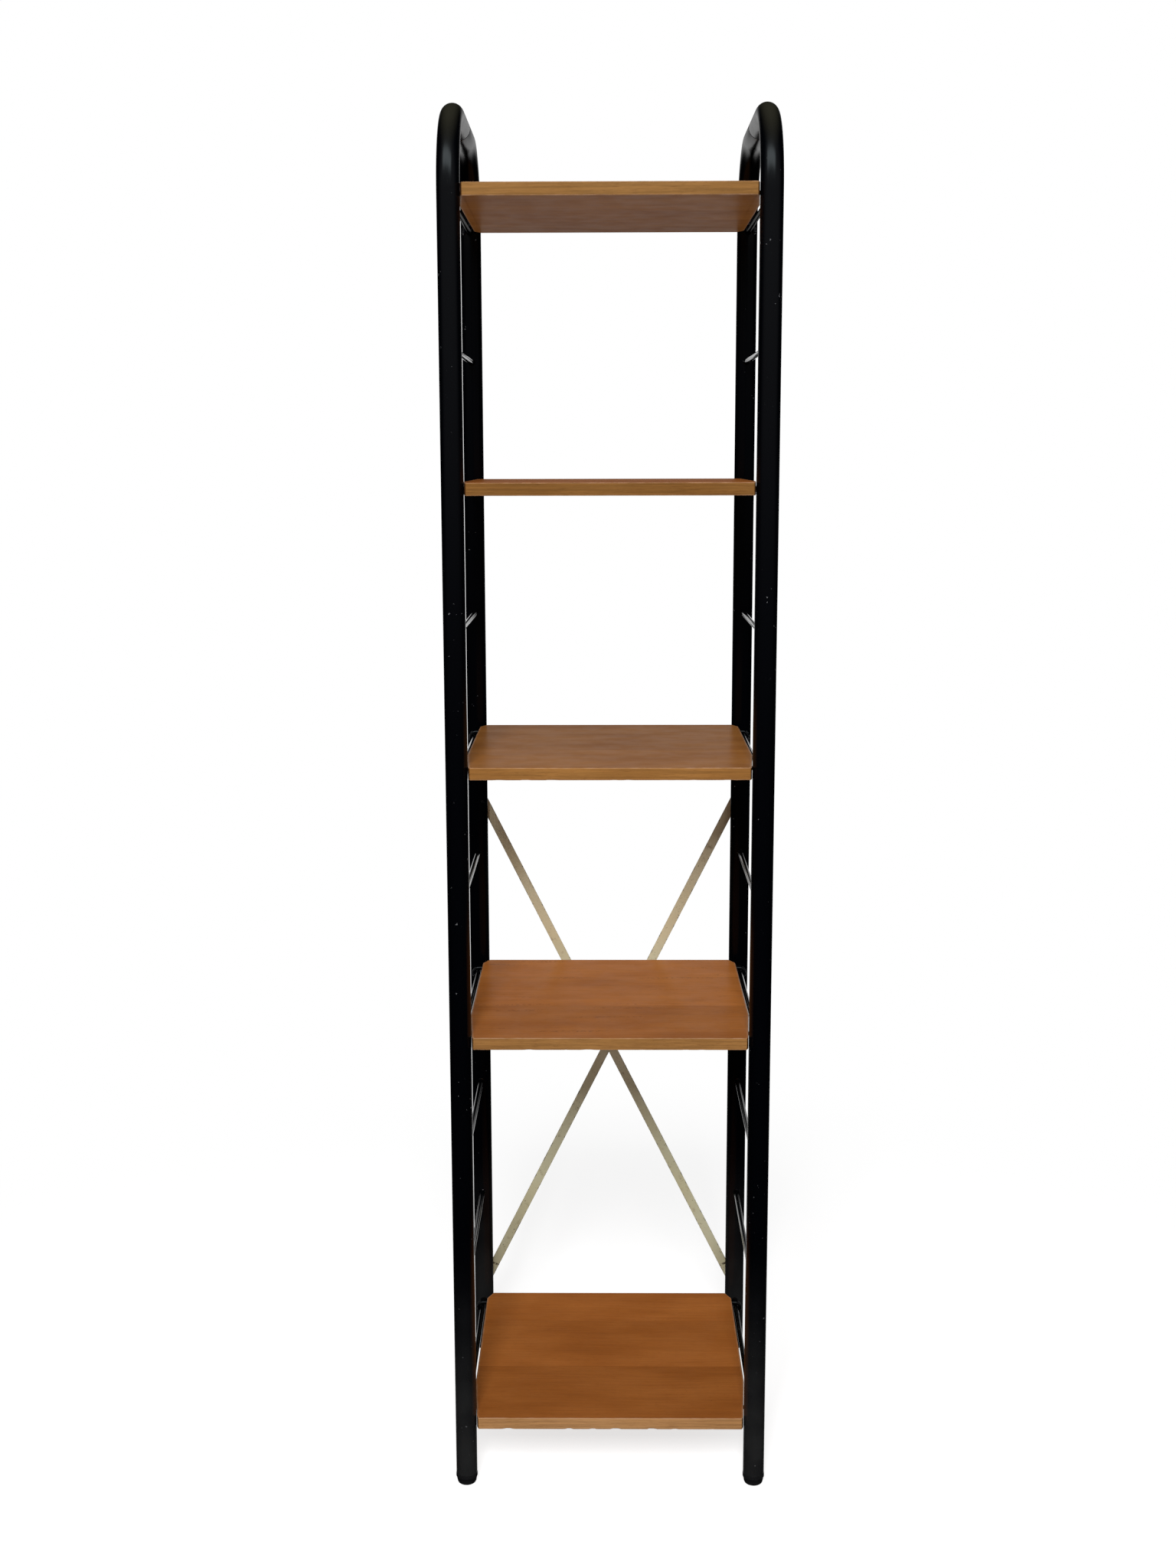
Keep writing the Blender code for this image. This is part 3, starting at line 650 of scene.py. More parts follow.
def board_veneer(name, leaf_tones_and_light, hue, gloss, curl, shift):
    """Three veneer leaves, each with its own tone, partly painted light, and stretch of grain, and hairline
    joints.
    """
    material, tree, shader, place = start_material(name)
    depth = part_of(tree, place, "Y")
    middle_leaf = calculate(tree, "GREATER_THAN", depth, SEAM_FRONT_Y)
    rear_leaf = calculate(tree, "GREATER_THAN", depth, SEAM_REAR_Y)
    leaf = calculate(tree, "ADD", middle_leaf, rear_leaf)
    leaf_x = calculate(tree, "MULTIPLY_ADD", leaf, LEAF_SHIFT_X, shift)
    leaf_y = calculate(tree, "MULTIPLY", leaf, LEAF_SHIFT_Y)
    offset = add_node(tree, "ShaderNodeCombineXYZ", {"X": leaf_x, "Y": leaf_y}).outputs[0]
    laid = moved(tree, place, offset)
    grain = use_group(tree, wood_grain, {"Vector": laid})
    colour = tint(tree, grain["Figure"], WOOD_DARK, WOOD_LIGHT)
    colour = tint(tree, calculate(tree, "MULTIPLY", grain["Flecks"], VENEER_FLECKS), colour, WOOD_PORE)
    colour = tint(tree, calculate(tree, "MULTIPLY", grain["Curl"], curl), colour, WOOD_PORE)
    streak = blend(tree, grain["Lines"], *VENEER_STREAK_SPAN)
    tone = calculate(tree, "MULTIPLY_ADD", middle_leaf, leaf_tones_and_light[1] - leaf_tones_and_light[0], leaf_tones_and_light[0])
    tone = calculate(tree, "MULTIPLY_ADD", rear_leaf, leaf_tones_and_light[2] - leaf_tones_and_light[1], tone)
    tone = calculate(tree, "MULTIPLY", tone, streak)
    colour = tint(tree, 1.0, toned(tree, colour, tone), hue, "MULTIPLY")
    for seam in (SEAM_FRONT_Y, SEAM_REAR_Y):
        away = calculate(tree, "ABSOLUTE", calculate(tree, "SUBTRACT", depth, seam))
        colour = tint(tree, ease(tree, away, SEAM_HALF_WIDTH, 0.0, 0.0, SEAM_DARKNESS), colour, WOOD_SEAM)
    specks = calculate(tree, "MULTIPLY", marks_on(tree, laid, *VENEER_MARKS), VENEER_SPECKS)
    colour = tint(tree, specks, colour, WOOD_SPECK)
    finish_wood(tree, shader, place, colour, grain["Height"], gloss)
    return material


def board_band(name, hue, gloss, shift):
    """The edge band: straighter, more golden wood than the veneer."""
    material, tree, shader, place = start_material(name)
    grain = use_group(tree, wood_grain, {"Vector": moved(tree, place, (shift, *BAND_SHIFT))})
    colour = tint(tree, grain["Figure"], BAND_DARK, BAND_LIGHT)
    colour = tint(tree, calculate(tree, "MULTIPLY", grain["Flecks"], BAND_FLECKS), colour, BAND_PORE)
    line = blend(tree, grain["Lines"], *BAND_LINE_SPAN)
    colour = tint(tree, 1.0, toned(tree, colour, line), hue, "MULTIPLY")
    finish_wood(tree, shader, place, colour, grain["Height"], gloss)
    return material


def cut_across(bm, point, normal, faces=None):
    """Cuts some faces, or all of them, where a plane crosses them, and gives the faces of that part."""
    faces = faces or bm.faces[:]
    edges = list({edge for face in faces for edge in face.edges})
    verts = list({vert for face in faces for vert in face.verts})
    cut = bmesh.ops.bisect_plane(bm, geom=verts + edges + faces, plane_co=point, plane_no=normal)["geom"]
    return [item for item in cut if isinstance(item, bmesh.types.BMFace)]


def board_shape(low, high, chips, shift):
    """A board with clipped, eased corners and edges, chipped a little along its lower front edge."""
    right_side = [
        (BOARD_FRONT_HALF, low.y),
        (BOARD_FRONT_HALF + BOARD_FRONT_CLIP[0], low.y + BOARD_FRONT_CLIP[1]),
        (high.x + BOARD_SIDE_SPARE, low.y + BOARD_FRONT_CORNER),
        (high.x + BOARD_SIDE_SPARE, high.y - BOARD_REAR_DEEP),
        (high.x - BOARD_REAR_ACROSS, high.y),
    ]
    outline = right_side + [(-x, y) for x, y in reversed(right_side)]
    bm = bmesh.new()
    underside = bm.faces.new([bm.verts.new((x, y, low.z)) for x, y in outline])
    raised = verts_in(bmesh.ops.extrude_face_region(bm, geom=[underside])["geom"])
    bmesh.ops.translate(bm, verts=raised, vec=(0, 0, high.z - low.z))
    upright = [edge for edge in bm.edges if edge.verts[0].co.z != edge.verts[1].co.z]
    shade_round(soften(bm, upright, BOARD_CORNER_ROUND, BOARD_CORNER_STEPS)["faces"])
    level = [edge for edge in bm.edges if edge.verts[0].co.z == edge.verts[1].co.z]
    shade_round(soften(bm, level, BOARD_EDGE_ROUND, BOARD_EDGE_STEPS)["faces"])
    bm.normal_update()
    sheets = [face for face in bm.faces if abs(face.normal.z) > SHEET_NORMAL_Z]
    bmesh.ops.inset_individual(bm, faces=sheets, thickness=RIM_REACH)
    # The rim layer marks the eased edges, which get a pale painted highlight.
    edge_highlight_share = bm.verts.layers.float.new("rim")
    sheet_verts = {vert for face in sheets for vert in face.verts}
    for vert in bm.verts:
        from_face = min(vert.co.z - low.z, high.z - vert.co.z)
        vert[edge_highlight_share] = 1.0 if vert not in sheet_verts and from_face < RIM_HIGHLIGHT_BAND else 0.0
    cut_across(bm, (0, low.y + CHIP_REACH, 0), (0, 1, 0))
    front = [face for face in bm.faces if face.calc_center_median().y < low.y + CHIP_REACH]
    for step in range(1, round(2 * BOARD_FRONT_HALF / CHIP_SPACING)):
        x = step * CHIP_SPACING - BOARD_FRONT_HALF
        front = cut_across(bm, (x, 0, 0), (1, 0, 0), front)
    for vert in {vert for face in front for vert in face.verts}:
        near_edge = vert.co.y < low.y + CHIP_EDGE and vert.co.z < low.z + CHIP_EDGE
        if near_edge and abs(vert.co.x) < BOARD_FRONT_HALF - CHIP_SPACING:
            chip = noise.noise((vert.co.x * CHIP_SCALE + shift, shift, 0.0)) - CHIP_LEVEL
            lift = max(0.0, min(chip * CHIP_STEEPNESS, 1.0)) * chips * CHIP_DEPTH
            vert.co.z += lift * (low.z + CHIP_REACH - vert.co.z) / CHIP_REACH
    return bm


def board_finish(face):
    """Which of the board's materials a face has: 0 the veneer, 1 the edge band, 2 the sides in painted shade.
    """
    if abs(face.normal.z) > VENEER_NORMAL_Z:
        return 0
    return 2 if abs(face.normal.x) > SIDE_NORMAL_X else 1


def drill(piece, cutter):
    """Cuts a bmesh out of a piece, for good."""
    mesh = bpy.data.meshes.new("cutter")
    bmesh.ops.recalc_face_normals(cutter, faces=cutter.faces)
    cutter.to_mesh(mesh)
    cutter.free()
    tool = bpy.data.objects.new("cutter", mesh)
    bpy.context.scene.collection.objects.link(tool)
    cut = piece.modifiers.new("cut", "BOOLEAN")
    cut.operation = "DIFFERENCE"
    cut.solver = "EXACT"
    cut.object = tool
    whole = piece.data
    piece.data = bpy.data.meshes.new_from_object(piece.evaluated_get(bpy.context.evaluated_depsgraph_get()))
    piece.data.name = piece.name
    piece.modifiers.clear()
    bpy.data.objects.remove(tool)
    bpy.data.meshes.remove(mesh)
    bpy.data.meshes.remove(whole)
    piece.data.set_sharp_from_angle(angle=SMOOTH_ANGLE)


for number, (leaf_tones_and_light, veneer_tint_and_sheen, band_hue, gloss, chips, curl, shift) in BOARDS.items():
    board_low, board_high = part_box(f"shelf_{number}_board")
    bm = board_shape(board_low, board_high, chips, shift)
    bm.normal_update()
    for face in bm.faces:
        face.material_index = board_finish(face)
    veneer = board_veneer(f"board_veneer_{number}", leaf_tones_and_light, veneer_tint_and_sheen, gloss, curl, shift)
    band = board_band(f"board_band_{number}", band_hue, gloss, shift)
    # The sides are painted dark as shade.
    side = board_band(f"board_painted_shade_side_{number}", SIDE_PAINTED_SHADE, gloss, shift)
    finishes = [veneer, band, side]
    shelf = f"shelf_{number}"
    board = add_piece(f"board_{number}", bm, finishes, shelf, f"{shelf}_board")
    holes = bmesh.new()
    middle_z = (board_low.z + board_high.z) / 2
    for across in SIDES.values():
        for along in ENDS.values():
            mouth = (across * (board_high.x + HOOK_HOLE_DEPTH), LADDER_Y + along * HOOK_Y, middle_z)
            ring = start_ring(holes, HOOK_HOLE_SIDES, HOOK_HOLE_RADIUS, mouth, (across, 0, 0))
            draw_out(holes, ring, (-2 * across * HOOK_HOLE_DEPTH, 0, 0))
    bmesh.ops.holes_fill(holes, edges=holes.edges)
    drill(board, holes)

# Hooks
# Twenty 6 mm steel rods, four to a shelf, enamelled black. Each is pushed into a hole in the board's side and
# bent over and down round the rung, so that the shelf hangs by its weight and lifts straight off.
HOOK_SIDES = 24
HOOK_BEND_STEPS = 12
HOOK_TIP_STEPS = 5
HOOK_TIP_FLAT = 0.5
HOOK_DROP = 0.007
HOOK_RISE = 0.0073
HOOK_PIN_END = 0.001
HOOK_MARKS = (300.0, 0.64)
HOOK_BLUR = 0.15
HOOK_SHINE = 0.9


def hook_shape(across, y, rung_z, reach):
    """A rod from its pinned end to the rung, over it, and down to a rounded tip."""
    bm = bmesh.new()
    x = across * TUBE_X
    pin_radius = HOOK_RADIUS - HOOK_PIN_END
    pin_end = (across * (TUBE_X - reach), y, rung_z + HOOK_RISE)
    ring = start_ring(bm, HOOK_SIDES, pin_radius, pin_end, (across, 0, 0))
    ring = draw_out(bm, ring, (across * HOOK_PIN_END, 0, 0), HOOK_RADIUS / pin_radius)
    ring = draw_out(bm, ring, (across * (reach - HOOK_PIN_END), 0, 0))
    ring = bend_round(bm, ring, (x, y, rung_z), (0, 1, 0), across * math.pi / 2, HOOK_BEND_STEPS)
    straight = HOOK_DROP - HOOK_RADIUS
    ring = draw_out(bm, ring, (0, 0, -straight))
    radius = HOOK_RADIUS
    depth = 0.0
    for step in range(1, HOOK_TIP_STEPS + 1):
        angle = math.pi / 2 * step / (HOOK_TIP_STEPS + HOOK_TIP_FLAT)
        next_radius = HOOK_RADIUS * math.cos(angle)
        next_depth = HOOK_RADIUS * math.sin(angle)
        ring = draw_out(bm, ring, (0, 0, depth - next_depth), next_radius / radius)
        radius, depth = next_radius, next_depth
    bmesh.ops.holes_fill(bm, edges=bm.edges)
    shade_round(bm.faces)
    return bm


hook_enamel = black_enamel("hook_enamel", RUNG_DUSTY, HOOK_MARKS, HOOK_BLUR, HOOK_SHINE, HOOK_SHINE)
for number in BOARDS:
    for side, across in SIDES.items():
        for end, along in ENDS.items():
            hook_name = f"shelf_{number}_{end}_{side}_hook"
            hook_low, hook_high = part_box(hook_name)
            inner_x = hook_low.x if across > 0 else -hook_high.x
            rung_z = hook_low.z + HOOK_DROP
            bm = hook_shape(across, LADDER_Y + along * HOOK_Y, rung_z, TUBE_X - inner_x)
            hook = f"hook_{number}_{end}_{side}"
            add_piece(hook, bm, [hook_enamel], f"shelf_{number}", hook_name)

# Brace strips
# Two flat steel strips, 15 by 2 mm, enamelled cream, crossed behind the rear tubes. They are bowed a little
# to pass each other in the middle, and the paint is chipped along the edges and where an end was bent.
BRACE_WIDTH = 0.015
BRACE_THICKNESS = 0.002
BRACE_END_MARGIN = 0.009
BRACE_END_STEPS = 14
BRACE_BOW_STEPS = 32
BRACE_BOW = 0.00115
BRACE_EASE = 0.0004
BRACE_EASE_STEPS = 3
BRACE_HOLE_RADIUS = 0.0023
BRACE_DRILL_START = -2 * BRACE_THICKNESS
BRACE_DRILL_RUN = 5 * BRACE_THICKNESS
BRACE_TOP_Z = 0.994
BRACE_BOTTOM_Z = 0.111
BRACE_SEAT_GAP = 0.0003
BRACE_FRONT_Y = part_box("right_rear_tube")[1].y + BRACE_SEAT_GAP
BRACE_HALF_SPAN = math.hypot(TUBE_X, (BRACE_TOP_Z - BRACE_BOTTOM_Z) / 2)
BRACE_SLOPE = math.atan2((BRACE_TOP_Z - BRACE_BOTTOM_Z) / 2, TUBE_X)
CREASE_ALONG = 0.452
CREASE_HALF_WIDTH = 0.0008
CREASE_REACH = (CREASE_HALF_WIDTH * 3, CREASE_HALF_WIDTH)
CREASE_PATCHES = 330.0
CREASE_PATCH_EDGES = (0.38, 0.5)
CREAM = (0.60, 0.53, 0.36)
CREAM_YELLOWED = (0.55, 0.47, 0.30)
CREAM_GREYED = (0.88, 0.97, 0.995)
CREAM_CHIP = (0.05, 0.038, 0.026)
CREAM_RUST = (0.16, 0.085, 0.04)
CREAM_ROUGHNESS_SPAN = (0.4, 0.75)
CREAM_SPECULAR = 0.25
CREAM_BUMP = (0.12, 0.0003)
GREYED_RISE = (0.55, 0.35)
YELLOWED_EDGES = (0.35, 0.65)
RUST_EDGES = (0.58, 0.74)
RUST_SHARE = (0.0, 0.55)
EDGE_CHIP_REACH = (BRACE_WIDTH * 0.38, BRACE_WIDTH * 0.5)
EDGE_CHIP_EDGES = (0.55, 0.62)
STRIP_MARKS = (420.0, 0.64)
# Noises named CLOUD, here and below: patches in a metre, detail and, for the rust, roughness.
YELLOWED_CLOUD = (9.0, 3.0)
RUST_CLOUD = (70.0, 4.0, 0.65)
EDGE_CHIP_CLOUD = (160.0, 3.0)


def strip_shape(bow):
    """A flat strip along X with round ends and eased edges, bowed in the middle."""
    bm = bmesh.new()
    round_radius = BRACE_WIDTH / 2
    round_x = BRACE_HALF_SPAN + BRACE_END_MARGIN - round_radius
    outline = []
    for along in (1, -1):
        for step in range(BRACE_END_STEPS + 1):
            angle = math.pi * (step / BRACE_END_STEPS - 0.5)
            x = round_x + round_radius * math.cos(angle)
            outline.append((along * x, 0, along * round_radius * math.sin(angle)))
    face = bm.faces.new([bm.verts.new(point) for point in outline])
    back = verts_in(bmesh.ops.extrude_face_region(bm, geom=[face])["geom"])
    bmesh.ops.translate(bm, verts=back, vec=(0, BRACE_THICKNESS, 0))
    level = [edge for edge in bm.edges if edge.verts[0].co.y == edge.verts[1].co.y]
    shade_round(soften(bm, level, BRACE_EASE, BRACE_EASE_STEPS)["faces"])
    for step in range(1, BRACE_BOW_STEPS):
        cut_across(bm, (BRACE_HALF_SPAN * (2 * step / BRACE_BOW_STEPS - 1), 0, 0), (1, 0, 0))
    for vert in bm.verts:
        vert.co.y += bow * (1 - (vert.co.x / BRACE_HALF_SPAN) ** 2)
    return bm


brace_enamel, tree, shader, place = start_material("brace_enamel")
strip_along = add_node(tree, "ShaderNodeAttribute", attribute_name="along").outputs["Fac"]
strip_across = add_node(tree, "ShaderNodeAttribute", attribute_name="across").outputs["Fac"]
yellowed = ease(tree, cloud(tree, place, *YELLOWED_CLOUD), *YELLOWED_EDGES)
colour = tint(tree, yellowed, CREAM, CREAM_YELLOWED)
rust = ease(tree, cloud(tree, place, *RUST_CLOUD), *RUST_EDGES, *RUST_SHARE)
colour = tint(tree, rust, colour, CREAM_RUST)
greyed = ease(tree, part_of(tree, place, "Z"), *GREYED_RISE)
colour = tint(tree, greyed, colour, CREAM_GREYED, "MULTIPLY")
near_edge = ease(tree, calculate(tree, "ABSOLUTE", strip_across), *EDGE_CHIP_REACH)
edge_patches = ease(tree, cloud(tree, place, *EDGE_CHIP_CLOUD), *EDGE_CHIP_EDGES)
edge_chip = calculate(tree, "MULTIPLY", near_edge, edge_patches)
speck = marks_on(tree, place, *STRIP_MARKS)
crease_away = calculate(tree, "ABSOLUTE", calculate(tree, "SUBTRACT", strip_along, CREASE_ALONG))
near_crease = ease(tree, crease_away, *CREASE_REACH)
crease_patches = ease(tree, cloud(tree, place, CREASE_PATCHES), *CREASE_PATCH_EDGES)
crease = calculate(tree, "MULTIPLY", near_crease, crease_patches)
chip = calculate(tree, "MAXIMUM", calculate(tree, "MAXIMUM", edge_chip, speck), crease)
feed(tree, shader.inputs["Base Color"], tint(tree, chip, colour, CREAM_CHIP))
feed(tree, shader.inputs["Roughness"], blend(tree, chip, *CREAM_ROUGHNESS_SPAN))
shader.inputs["Specular IOR Level"].default_value = CREAM_SPECULAR
strip_ripple = use_group(tree, paint_ripple, {"Vector": place})["Height"]
set_bump(tree, shader, calculate(tree, "SUBTRACT", strip_ripple, chip), *CREAM_BUMP)
strip_middle = Matrix.Translation((0, BRACE_FRONT_Y, (BRACE_TOP_Z + BRACE_BOTTOM_Z) / 2))
for fall, turn, bow in (("falling", BRACE_SLOPE, -BRACE_BOW), ("rising", -BRACE_SLOPE, BRACE_BOW)):
    bm = strip_shape(bow)
    strip = add_piece(f"strip_{fall}", bm, [brace_enamel], "frame", f"brace_strip_{fall}")
    holes = bmesh.new()
    for along in ENDS.values():
        mouth = (along * BRACE_HALF_SPAN, BRACE_DRILL_START, 0)
        ring = start_ring(holes, HOOK_HOLE_SIDES, BRACE_HOLE_RADIUS, mouth, (0, 1, 0))
        draw_out(holes, ring, (0, BRACE_DRILL_RUN, 0))
    bmesh.ops.holes_fill(holes, edges=holes.edges)
    drill(strip, holes)
    along_layer = strip.data.attributes.new("along", "FLOAT", "POINT")
    across_layer = strip.data.attributes.new("across", "FLOAT", "POINT")
    lower_end = 1 if fall == "falling" else -1
    for vert in strip.data.vertices:
        along_layer.data[vert.index].value = lower_end * vert.co.x
        across_layer.data[vert.index].value = vert.co.z
    strip.data.transform(strip_middle @ Matrix.Rotation(turn, 4, "Y"))

# Brace screws
# Four zinc-plated pan-head screws with a cross recess, driven through the strips' ends into the rear tubes.
# Only their heads show, on the back.
SCREW_SIDES = 40
SCREW_RADIUS = 0.002
SCREW_HEAD_RADIUS = 0.004
SCREW_HEAD_HEIGHT = 0.0026
SCREW_CROWN_RADIUS = 0.0025
SCREW_RIM_HEIGHT = 0.0012
SCREW_DOME_STEPS = 6
SCREW_SHANK = 0.0101
SCREW_POINT = 0.001
RECESS_LENGTH = 0.0044
RECESS_WIDTH = 0.0010
RECESS_DEPTH = 0.0016
RECESS_TAPER = 0.55
# A recess is turned by SCREW_TURN degrees, give or take SCREW_SIDE_TURN by side, and by more at its level.
SCREW_TURN = 20
SCREW_SIDE_TURN = 35
SCREW_LEVELS = {"upper": (BRACE_TOP_Z, 15), "lower": (BRACE_BOTTOM_Z, 0)}
QUARTER_TURN = math.pi / 2
ZINC = (0.56, 0.55, 0.52)
ZINC_DULL = (0.30, 0.28, 0.25)
ZINC_CLOUD = (800.0, 3.0)
ZINC_EDGES = (0.35, 0.7)
ZINC_ROUGHNESS_SPAN = (0.3, 0.5)
ZINC_PITS = 2600.0
ZINC_BUMP = (0.1, 0.0001)


def screw_shape():
    """A domed head above its seat at height 0, and a shank with a blunt point below it."""
    profile = [(0, SCREW_HEAD_HEIGHT)]
    dome = SCREW_HEAD_HEIGHT - SCREW_RIM_HEIGHT
    for step in range(SCREW_DOME_STEPS + 1):
        angle = math.pi / 2 * step / SCREW_DOME_STEPS
        radius = SCREW_CROWN_RADIUS + (SCREW_HEAD_RADIUS - SCREW_CROWN_RADIUS) * math.sin(angle)
        profile.append((radius, SCREW_RIM_HEIGHT + dome * math.cos(angle)))
    profile += [
        (SCREW_HEAD_RADIUS, 0),
        (SCREW_RADIUS, 0),
        (SCREW_RADIUS, SCREW_POINT - SCREW_SHANK),
        (SCREW_RADIUS - SCREW_POINT, -SCREW_SHANK),
        (0, -SCREW_SHANK),
    ]
    return turned_shape(profile, SCREW_SIDES)


def recess_shape(turn):
    """One tapered slot of the cross, open at the head's crown."""
    bm = bmesh.new()
    slot = bmesh.ops.create_cube(bm, size=1)["verts"]
    bmesh.ops.scale(bm, verts=slot, vec=(RECESS_LENGTH, RECESS_WIDTH, 2 * RECESS_DEPTH))
    floor = [vert for vert in slot if vert.co.z < 0]
    bmesh.ops.scale(bm, verts=floor, vec=(RECESS_TAPER, RECESS_TAPER, 1))
    bmesh.ops.rotate(bm, verts=slot, cent=(0, 0, 0), matrix=Matrix.Rotation(turn, 3, "Z"))
    bmesh.ops.translate(bm, verts=slot, vec=(0, 0, SCREW_HEAD_HEIGHT))
    return bm


screw_zinc, tree, shader, place = start_material("screw_zinc")
dull = ease(tree, cloud(tree, place, *ZINC_CLOUD), *ZINC_EDGES)
feed(tree, shader.inputs["Base Color"], tint(tree, dull, ZINC, ZINC_DULL))
feed(tree, shader.inputs["Roughness"], blend(tree, dull, *ZINC_ROUGHNESS_SPAN))
shader.inputs["Metallic"].default_value = 1.0
set_bump(tree, shader, cloud(tree, place, ZINC_PITS), *ZINC_BUMP)
for side, across in SIDES.items():
    for level, (height, level_turn) in SCREW_LEVELS.items():
        screw_name = f"brace_screw_{level}_{side}"
        bm = screw_shape()
        screw = add_piece(f"screw_{level}_{side}", bm, [screw_zinc], "frame", screw_name)
        twist = math.radians(SCREW_TURN + SCREW_SIDE_TURN * across + level_turn)
        drill(screw, recess_shape(twist))
        drill(screw, recess_shape(twist + QUARTER_TURN))
        seat_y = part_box(screw_name)[1].y - SCREW_HEAD_HEIGHT
        seat = Matrix.Translation((across * TUBE_X, seat_y, height))
        screw.data.transform(seat @ Matrix.Rotation(-QUARTER_TURN, 4, "X"))

# Floor
# A plain, matt, pale studio floor. It takes the bookcase's shadow close by, and glows for rays that see it,
# so that it runs out to white further off.
FLOOR_HALF = 6.0
FLOOR_ALBEDO = (0.55, 0.55, 0.55)
FLOOR_ROUGHNESS = 0.9
FLOOR_GLOW = 0.72
FLOOR_FADE_START = 0.7
FLOOR_FADE_END = 1.7
WHITE = (1, 1, 1)
bm = bmesh.new()
bmesh.ops.create_grid(bm, x_segments=2, y_segments=2, size=FLOOR_HALF)
floor_mesh = bpy.data.meshes.new("floor")
bm.to_mesh(floor_mesh)
bm.free()
floor = bpy.data.objects.new("floor", floor_mesh)
bpy.context.scene.collection.objects.link(floor)
floor.visible_glossy = False
floor_paint, tree, shader, place = start_material("floor_paint")
floor_mesh.materials.append(floor_paint)
shader.inputs["Base Color"].default_value = (*FLOOR_ALBEDO, 1)
shader.inputs["Roughness"].default_value = FLOOR_ROUGHNESS
shader.inputs["Specular IOR Level"].default_value = 0.0


def seen_white(tree, backdrop):
    """1 for rays that see white: the camera's, and glossy and transmission ones that meet the backdrop."""
    path = add_node(tree, "ShaderNodeLightPath").outputs
    mirrored = calculate(tree, "MAXIMUM", path["Is Glossy Ray"], path["Is Transmission Ray"])
    return calculate(tree, "MAXIMUM", path["Is Camera Ray"], calculate(tree, "MULTIPLY", mirrored, backdrop))


away = add_node(tree, "ShaderNodeVectorMath", {0: place}, operation="LENGTH").outputs["Value"]
seen = seen_white(tree, 1.0)
fade = calculate(tree, "MULTIPLY", seen, ease(tree, away, FLOOR_FADE_START, FLOOR_FADE_END))
feed(tree, shader.inputs["Emission Color"], WHITE)
feed(tree, shader.inputs["Emission Strength"], calculate(tree, "MULTIPLY", seen, FLOOR_GLOW))
white = add_node(tree, "ShaderNodeEmission", {"Color": WHITE, "Strength": 1.0})
faded = add_node(tree, "ShaderNodeMixShader", {0: fade, 1: shader.outputs[0], 2: white.outputs[0]})
feed(tree, tree.nodes["Material Output"].inputs["Surface"], faded.outputs[0])

# Light
# An even, dim room with a white backdrop behind the bookcase. One soft lamp high in front gives the shelves
# their shade, and a broad panel over the arches shows only in their gloss.
ROOM_LEVEL = 0.26
ROOM_MIRRORED = 0.26
# Where the room and the backdrop begin and end, by the direction in which they are seen.
ROOM_RISE = (-0.25, 0.2)
ROOM_FACING = (0.2, -0.6)
BACKDROP_FACING = (0.0, 0.3)
BACKDROP_ASIDE = (0.5, 0.3)
BACKDROP_BELOW = (-0.75, -0.45)
BACKDROP_ABOVE = (0.36, 0.14)
LAMP_AIM = Vector((0, 0, 0.9))
PANEL_AIM = Vector((0, -0.2, 1.95))
# Each lamp: place, aim, size, power, colour, and whether it lights the bookcase or only shows in its gloss.
LAMPS = {
    "soft_lamp": (Vector((-0.2, -3.9, 3.1)), LAMP_AIM, (1.2, 1.2), 176.0, (1.0, 1.0, 1.0), True),
    "sky_panel": (Vector((-0.3, -1.7, 3.5)), PANEL_AIM, (3.2, 0.9), 27.0, (0.84, 0.96, 1.0), False),
}
world = bpy.data.worlds.new("studio")
bpy.context.scene.world = world
world.use_nodes = True
tree = world.node_tree
room = tree.nodes["Background"]
room.inputs["Color"].default_value = (*WHITE, 1)
heading = add_node(tree, "ShaderNodeTexCoord").outputs["Generated"]
heading = add_node(tree, "ShaderNodeSeparateXYZ", {0: heading}).outputs
mirrored = add_node(tree, "ShaderNodeLightPath").outputs["Is Glossy Ray"]
dim = calculate(
    tree,
    "MULTIPLY",
    ease(tree, heading["Z"], *ROOM_RISE, 0.0, ROOM_MIRRORED),
    ease(tree, heading["Y"], *ROOM_FACING),
)
feed(tree, room.inputs["Strength"], blend(tree, mirrored, ROOM_LEVEL, dim))
behind = ease(tree, heading["Y"], *BACKDROP_FACING)
aside = ease(tree, calculate(tree, "ABSOLUTE", heading["X"]), *BACKDROP_ASIDE)
below = ease(tree, heading["Z"], *BACKDROP_BELOW)
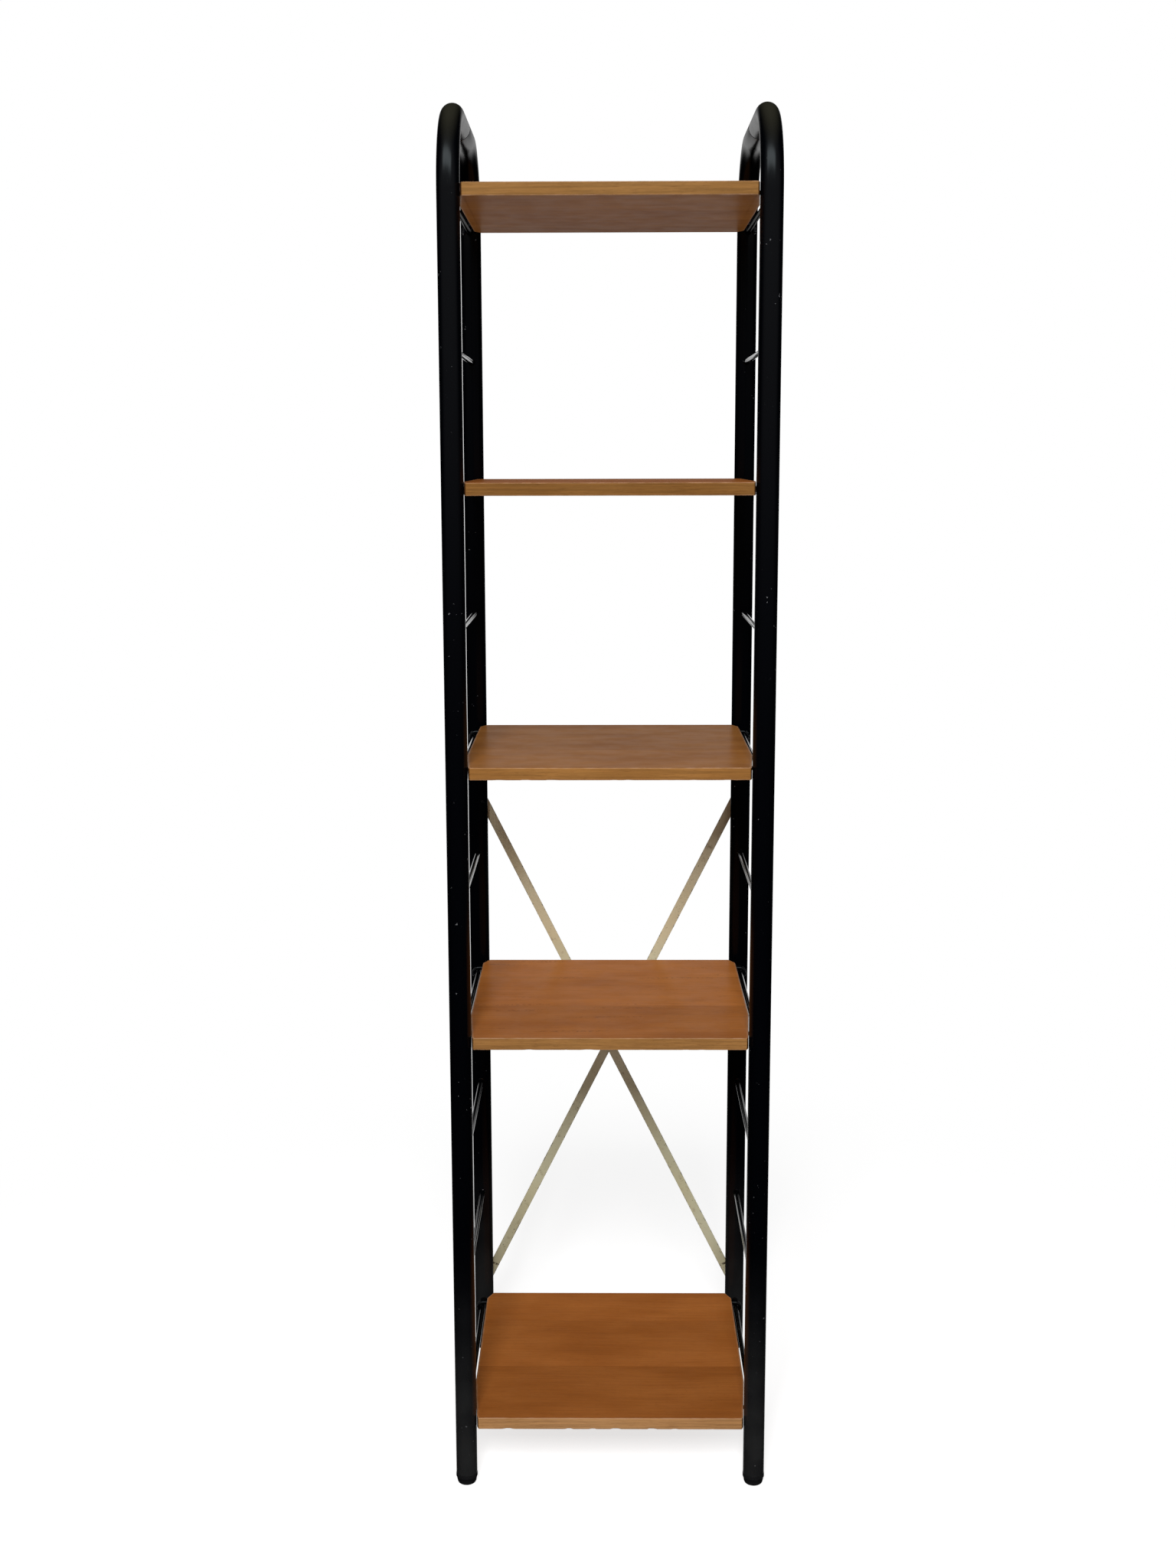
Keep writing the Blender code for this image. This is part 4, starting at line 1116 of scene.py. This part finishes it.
above = ease(tree, heading["Z"], *BACKDROP_ABOVE)
framed = calculate(tree, "MULTIPLY", calculate(tree, "MULTIPLY", behind, aside), below)
seen = seen_white(tree, calculate(tree, "MULTIPLY", framed, above))
backdrop = add_node(tree, "ShaderNodeBackground", {"Color": WHITE, "Strength": 1.0})
studio = add_node(tree, "ShaderNodeMixShader", {0: seen, 1: room.outputs[0], 2: backdrop.outputs[0]})
feed(tree, tree.nodes["World Output"].inputs["Surface"], studio.outputs[0])
for name, (place, aim, size, power, colour, lights) in LAMPS.items():
    lamp_data = bpy.data.lights.new(name, "AREA")
    lamp_data.shape = "RECTANGLE"
    lamp_data.size, lamp_data.size_y = size
    lamp_data.energy = power
    lamp_data.color = colour
    lamp = bpy.data.objects.new(name, lamp_data)
    bpy.context.scene.collection.objects.link(lamp)
    lamp.location = place
    lamp.rotation_euler = (aim - place).to_track_quat("-Z", "Y").to_euler()
    lamp.visible_camera = False
    lamp.visible_diffuse = lights
    lamp.visible_glossy = not lights

# Camera
# Where the photograph was taken from: nearly straight in front, at three quarters of the bookcase's height
# and looking slightly down.
IMAGE_HEIGHT = 2048
FOCAL_PIXELS = 2405.5
SENSOR_HEIGHT = 36.0
CAMERA_PLACE = (-0.0092, -2.8105, 1.5471)
CAMERA_YAW = 0.00856
CAMERA_PITCH = -0.17648
CAMERA_ROLL = -0.00226
camera_data = bpy.data.cameras.new("camera")
camera_data.sensor_fit = "VERTICAL"
camera_data.sensor_height = SENSOR_HEIGHT
camera_data.lens = FOCAL_PIXELS / IMAGE_HEIGHT * SENSOR_HEIGHT
camera = bpy.data.objects.new("camera", camera_data)
bpy.context.scene.collection.objects.link(camera)
camera.matrix_world = (
    Matrix.Translation(CAMERA_PLACE)
    @ Matrix.Rotation(CAMERA_YAW, 4, "Z")
    @ Matrix.Rotation(math.pi / 2 + CAMERA_PITCH, 4, "X")
    @ Matrix.Rotation(CAMERA_ROLL, 4, "Z")
)
bpy.context.scene.camera = camera
bpy.context.scene.view_settings.view_transform = "Standard"
